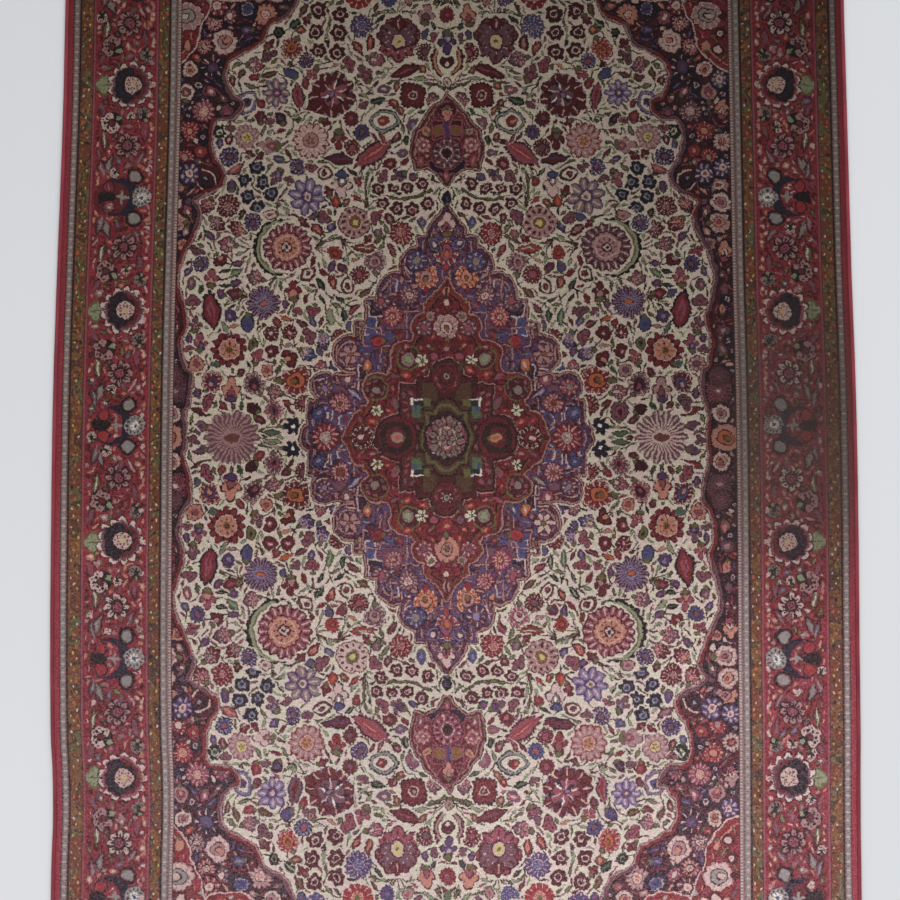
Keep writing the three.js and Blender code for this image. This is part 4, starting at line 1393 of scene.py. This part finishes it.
def fibre_group():
    """Twisted fibres of a spun yarn: how light and how raised they lie."""
    g = bpy.data.node_groups.new("spun fibre", "ShaderNodeTree")
    g.interface.new_socket("Place", in_out="INPUT", socket_type="NodeSocketVector")
    g.interface.new_socket("Fineness", in_out="INPUT", socket_type="NodeSocketFloat")
    for name in ("Shade", "Height"):
        g.interface.new_socket(name, in_out="OUTPUT", socket_type="NodeSocketFloat")
    enter, leave = g.nodes.new("NodeGroupInput"), g.nodes.new("NodeGroupOutput")
    fibre = g.nodes.new("ShaderNodeTexNoise")
    fibre.inputs["Detail"].default_value = 5
    fibre.inputs["Roughness"].default_value = .7
    link(g, enter.outputs["Place"], fibre.inputs["Vector"])
    link(g, enter.outputs["Fineness"], fibre.inputs["Scale"])
    dust = mottle(g, enter.outputs["Place"], 14, 4)
    link(g, plus(g, times(g, fibre.outputs[0], .55), times(g, dust, .45)), leave.inputs["Shade"])
    link(g, fibre.outputs[0], leave.inputs["Height"])
    return g


fibre_nodes = fibre_group()


def yarn_material(name, dark, light, rough, fine, sheen, strength):
    m = bpy.data.materials.new(name)
    m.use_nodes = True
    tree = m.node_tree
    bsdf = tree.nodes["Principled BSDF"]
    place = tree.nodes.new("ShaderNodeTexCoord")
    fibre = tree.nodes.new("ShaderNodeGroup")
    fibre.node_tree = fibre_nodes
    fibre.inputs["Fineness"].default_value = fine
    link(tree, place.outputs["Object"], fibre.inputs["Place"])
    spread = tree.nodes.new("ShaderNodeMapRange")
    spread.inputs["From Min"].default_value = .3
    spread.inputs["From Max"].default_value = .7
    link(tree, fibre.outputs["Shade"], spread.inputs["Value"])
    link(tree, dyed(tree, spread.outputs[0], dark, light), bsdf.inputs["Base Color"])
    bsdf.inputs["Roughness"].default_value = rough
    bsdf.inputs["Specular IOR Level"].default_value = .2
    bsdf.inputs["Sheen Weight"].default_value = sheen
    raised(tree, fibre.outputs["Height"], strength, .0004, bsdf)
    return m


pile_material = pile_shader()
back_material = yarn_material("knotted back", (84, 52, 52), (168, 140, 124), .9, 500, .05, .5)


def weave(name, first_col, first_row, n_cols, n_rows, lengths):
    """One stretch of pile, n_cols by n_rows faces; its bake map is cut into so many lengths."""
    bm = bmesh.new()
    bmesh.ops.create_grid(bm, x_segments=n_cols, y_segments=n_rows, size=1)
    turned_down(bm)
    bmesh.ops.recalc_face_normals(bm, faces=bm.faces)
    piece = set_down(bm, name)
    mesh = piece.data
    places = np.empty(len(mesh.vertices) * 3)
    mesh.vertices.foreach_get("co", places)
    places = places.reshape(-1, 3)
    col = (np.round((places[:, 0] + 1) / 2 * n_cols) + first_col) * BLOCK
    row = (np.round((places[:, 1] + 1) / 2 * n_rows) + first_row) * BLOCK
    lift = (places[:, 2] > -.5).astype(float)
    mesh.vertices.foreach_set("co", lie(col, row, lift).ravel())
    corners = np.empty(len(mesh.loops), int)
    starts = np.empty(len(mesh.polygons), int)
    totals = np.empty(len(mesh.polygons), int)
    mesh.loops.foreach_get("vertex_index", corners)
    mesh.polygons.foreach_get("loop_start", starts)
    mesh.polygons.foreach_get("loop_total", totals)
    face_of = np.repeat(np.arange(len(starts)), totals)
    mid_col, mid_row, mid_lift = (np.add.reduceat(value[corners], starts) / totals
                                  for value in (col / BLOCK, row / BLOCK, lift))
    block_col = np.clip(mid_col.astype(int), first_col, first_col + n_cols - 1)
    block_row = np.clip(mid_row.astype(int), first_row, first_row + n_rows - 1)
    on_top = mid_lift > .99
    blocks_of_knots = chart.reshape(ROWS // BLOCK, BLOCK, COLS // BLOCK, BLOCK).transpose(0, 2, 1, 3)
    tiles = blocks_of_knots[block_row, block_col]
    for k in range(BLOCK):
        layer = mesh.attributes.new(f"knots_{k}", "FLOAT_COLOR", "FACE")
        yarn_places = (tiles[:, k] + .5) / YARN_SLOTS
        layer.data.foreach_set("color", yarn_places.astype(np.float32).ravel())
    knots = mesh.uv_layers.new(name="knots")
    knots.data.foreach_set("uv", np.stack([col[corners], row[corners]], -1).astype(np.float32).ravel())
    # the lengths of pile lie side by side in the bake map, and the back takes a strip above them
    bake = mesh.uv_layers.new(name="OFBake")
    share = (col[corners] / BLOCK - first_col) / n_cols
    far = row[corners] / BLOCK - first_row
    step = int(np.ceil(n_rows / lengths))
    part = np.clip(((mid_row - first_row) / step).astype(int), 0, lengths - 1)[face_of]
    top_u = (part + .01 + .98 * share) / lengths
    top_v = .005 + .87 * (far - part * step) / step
    under_u = .01 + .98 * far / n_rows
    under_v = .9 + .09 * share
    flat = on_top[face_of]
    bake_places = np.stack([np.where(flat, top_u, under_u), np.where(flat, top_v, under_v)], -1)
    bake.data.foreach_set("uv", bake_places.astype(np.float32).ravel())
    mesh.materials.append(pile_material)
    mesh.materials.append(back_material)
    mesh.polygons.foreach_set("material_index", np.where(on_top, 0, 1).astype(np.int32))
    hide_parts("pile_body")
    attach(piece, "root")
    return piece


field_cols, field_rows = FIELD_BLOCKS
field_piece = weave("pile_field", BORDER_BLOCKS, BORDER_BLOCKS, field_cols, field_rows, 1)
side_rows = field_rows + 2 * BORDER_BLOCKS
border_pieces = [weave("border_left", 0, 0, BORDER_BLOCKS, side_rows, 3),
                 weave("border_right", field_cols + BORDER_BLOCKS, 0, BORDER_BLOCKS, side_rows, 3),
                 weave("border_foot", BORDER_BLOCKS, 0, field_cols, BORDER_BLOCKS, 1),
                 weave("border_head", BORDER_BLOCKS, field_rows + BORDER_BLOCKS, field_cols,
                       BORDER_BLOCKS, 1)]

# The selvedges. The outermost warps of each long side are wrapped, turn beside turn, with thick red wool.
# The wrapping is worked on with the rug still on the loom, so it follows the edge and carries on past the
# pile.
WRAP_TURN = .0032
RINGS_A_TURN = 4
FACES_AROUND = 12
HALF_WIDTH = .0033
HALF_HEIGHT = .003
MIDDLE_IN = .0034
MIDDLE_UP = .0031
SELVEDGE_LENGTHS = 6
wrap_wool = yarn_material("wrapped red wool", (106, 36, 46), (166, 72, 82), .75, 700, .12, .5)


def finished(bm, name, material, stands_for):
    """Sets down a small piece in its yarn, in the place of the plain solid it stands for."""
    bmesh.ops.recalc_face_normals(bm, faces=bm.faces)
    piece = set_down(bm, name)
    piece.data.shade_smooth()
    piece.data.materials.append(material)
    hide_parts(stands_for)
    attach(piece, "root")
    return piece


for side, sign in (("left", -1), ("right", 1)):
    node = bpy.data.objects["selvedge_" + side]
    places = np.empty(len(node.data.vertices) * 3)
    node.data.vertices.foreach_get("co", places)
    places = places.reshape(-1, 3)
    rim_y = np.unique(np.round(places[:, 1], 4))
    rim_x = np.array([sign * (sign * places[np.abs(places[:, 1] - y) < SAME_PLACE, 0]).max()
                      for y in rim_y])
    start, stop = rim_y.min(), rim_y.max()
    rings = int((stop - start) / WRAP_TURN) * RINGS_A_TURN
    bm = bmesh.new()
    bmesh.ops.create_grid(bm, x_segments=FACES_AROUND, y_segments=rings, size=1)
    bake_map = bm.loops.layers.uv.new("OFBake")
    for face in bm.faces:
        far = (face.calc_center_median().y + 1) / 2 * SELVEDGE_LENGTHS
        strip = min(SELVEDGE_LENGTHS - 1, int(far))
        for loop in face.loops:
            share = (loop.vert.co.y + 1) / 2 * SELVEDGE_LENGTHS - strip
            loop[bake_map].uv = ((strip + .04 + .92 * (loop.vert.co.x + 1) / 2) / SELVEDGE_LENGTHS,
                                 .01 + .98 * share)
    grid_at = np.array([v.co[:2] for v in bm.verts])
    y = start + (stop - start) * (grid_at[:, 1] + 1) / 2
    angle = np.pi * grid_at[:, 0] - np.pi / 2
    ridge = np.cos(2 * np.pi * (y - start) / WRAP_TURN + angle)
    taper = np.minimum(1, .72 + np.minimum(y - start, stop - y) / .004)
    swell = taper * (1 + .06 * ridge) * (1 + .02 * np.sin(y * 61) + .015 * np.sin(y * 23 + 1))
    x = np.interp(y, rim_y, rim_x) - sign * MIDDLE_IN + HALF_WIDTH * swell * np.cos(angle)
    z = MIDDLE_UP + np.maximum(HALF_HEIGHT * swell * np.sin(angle), -HALF_HEIGHT)
    for vert, place in zip(bm.verts, np.stack([x, y, z], -1)):
        vert.co = place
    bmesh.ops.remove_doubles(bm, verts=bm.verts, dist=.00002)
    bmesh.ops.holes_fill(bm, edges=bm.edges, sides=0)
    finished(bm, "wrapped_edge_" + side, wrap_wool, "selvedge_" + side)

# The webs and the warp fringe. At each end the weaver closes the rug with a short plain weave of undyed
# cotton, its thin weft picks over and under the warps. The warps themselves hang out of it, in pairs
# twisted round each other. They are plain and unknotted, and no two are cut alike.
WARPS = 280
PICKS = 10
WEB_LENGTHS = 8
WEB_WIDTH = .012
WEB_GAP = .0003
WEB_INSET = .0004
WEB_MIDDLE = .0016
WEAVE_RISE = .00035
STRANDS = 140
PLY_FACES = 5
PLY_STEPS = 16
PLY_THICK = .00105
PLY_TAPER = .0004
FRINGE_HANG = .042
UNEVEN = .005
ROOT_DEPTH = .002
TWIST = 15
cotton = yarn_material("undyed cotton", (176, 164, 138), (226, 217, 196), .85, 800, .08, .6)
pile_half = (head_end - foot_end) / 2
web_low, web_high = pile_half + WEB_GAP, pile_half + WEB_GAP + WEB_WIDTH
for end, direction, edge_y in (("top", 1, head_end), ("bottom", -1, foot_end)):
    x0 = np.interp(edge_y, *left_edge) + WEB_INSET
    x1 = np.interp(edge_y, *right_edge) - WEB_INSET
    bm = bmesh.new()
    bmesh.ops.create_grid(bm, x_segments=WARPS * 4, y_segments=PICKS * 2, size=1)
    bake_map = bm.loops.layers.uv.new("OFBake")
    for face in bm.faces:
        strip = min(WEB_LENGTHS - 1, int((face.calc_center_median().x + 1) / 2 * WEB_LENGTHS))
        for loop in face.loops:
            share = (loop.vert.co.x + 1) / 2 * WEB_LENGTHS - strip
            loop[bake_map].uv = (.01 + .98 * share,
                                 (strip + .05 + .8 * (loop.vert.co.y + 1) / 2) / WEB_LENGTHS)
    turned_down(bm)
    grid_at = np.array([v.co for v in bm.verts])
    warp = (grid_at[:, 0] + 1) / 2 * WARPS
    pick = (grid_at[:, 1] + 1) / 2 * PICKS
    over = np.cos(np.pi * warp) * np.cos(np.pi * pick)
    y = direction * (web_low + (web_high - web_low) * pick / PICKS)
    x = x0 + (x1 - x0) * warp / WARPS
    z = np.where(grid_at[:, 2] > -.5, WEB_MIDDLE + WEAVE_RISE * over, .0002)
    for vert, place in zip(bm.verts, np.stack([x, y, z], -1)):
        vert.co = place
    web = finished(bm, "web_weave_" + end, cotton, "web_" + end)

    bm = bmesh.new()
    bake_map = bm.loops.layers.uv.new("OFBake")
    pitch = (x1 - x0) / STRANDS
    for n in range(STRANDS):
        root_x = x0 + (n + .5) * pitch
        sway, bow, cut = (math.sin(n * turn) * math.cos(n * turn * .37 + 1) for turn in (1.7, 2.9, .83))
        reach = FRINGE_HANG + UNEVEN * cut + ROOT_DEPTH
        for ply in (0, 1):
            fresh = bmesh.ops.create_grid(bm, x_segments=PLY_FACES, y_segments=PLY_STEPS, size=1)["verts"]
            for face in {face for v in fresh for face in v.link_faces}:
                for loop in face.loops:
                    beside = n + .05 + .45 * ply + .4 * (loop.vert.co.x + 1) / 2
                    loop[bake_map].uv = (beside / STRANDS, .02 + .96 * (loop.vert.co.y + 1) / 2)
            for v in fresh:
                share = (v.co.y + 1) / 2
                around = math.pi * v.co.x
                thick = PLY_THICK - PLY_TAPER * share
                twist = share * TWIST + ply * math.pi + n
                drift = .0024 * sway * share + .0012 * bow * math.sin(share * math.pi)
                apart = .0007 + .0006 * share ** 3
                ply_x = root_x + drift + math.cos(twist) * apart
                ply_z = .0010 + max(math.sin(twist) * .0005, -.0002)
                v.co = (ply_x + thick * math.cos(around),
                        direction * (web_high - ROOT_DEPTH + reach * share),
                        max(ply_z + thick * math.sin(around), .0001))
    bmesh.ops.remove_doubles(bm, verts=bm.verts, dist=.00001)
    bmesh.ops.holes_fill(bm, edges=[e for e in bm.edges if e.is_boundary], sides=PLY_FACES)
    finished(bm, "fringe_" + end, cotton, "web_" + end)

# The floor is plain and pale. A broad window light comes from the foot end's left and a softer room light
# from the right, and the camera looks almost straight down, tilted a little from the foot end.
FLOOR_HALF = 14
DISTANCE = 2.6
TILT = math.radians(4.1)
LENS = 63.1
bm = bmesh.new()
bmesh.ops.create_grid(bm, x_segments=1, y_segments=1, size=FLOOR_HALF)
floor = set_down(bm, "floor")
pale = bpy.data.materials.new("pale floor")
pale.use_nodes = True
pale.node_tree.nodes["Principled BSDF"].inputs["Base Color"].default_value = linear((230, 231, 233))
pale.node_tree.nodes["Principled BSDF"].inputs["Roughness"].default_value = .9
floor.data.materials.append(pale)
floor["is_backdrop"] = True

scene = bpy.context.scene
scene.view_settings.view_transform = "Standard"
world = bpy.data.worlds.new("studio")
scene.world = world
world.use_nodes = True
world.node_tree.nodes["Background"].inputs[0].default_value = (.95, .97, 1, 1)
world.node_tree.nodes["Background"].inputs[1].default_value = .45
for name, x, y, z, size, power in (("window light", -1.2, -2.4, 3.2, 2.6, 60),
                                   ("room light", 2.1, .8, 3.4, 3, 52)):
    lamp = bpy.data.lights.new(name, "AREA")
    lamp.energy = power
    lamp.size = size
    holder = bpy.data.objects.new(name, lamp)
    bpy.context.collection.objects.link(holder)
    holder.location = (x, y, z)
    holder.rotation_euler = (Vector((0, 0, 0)) - holder.location).to_track_quat("-Z", "Y").to_euler()

camera = bpy.data.cameras.new("camera")
camera.lens = LENS
eye = bpy.data.objects.new("camera", camera)
bpy.context.collection.objects.link(eye)
eye.location = (-.0076, -.02 - DISTANCE * math.sin(TILT), DISTANCE * math.cos(TILT))
eye.rotation_euler = (TILT, 0, 0)
scene.camera = eye

low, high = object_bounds()
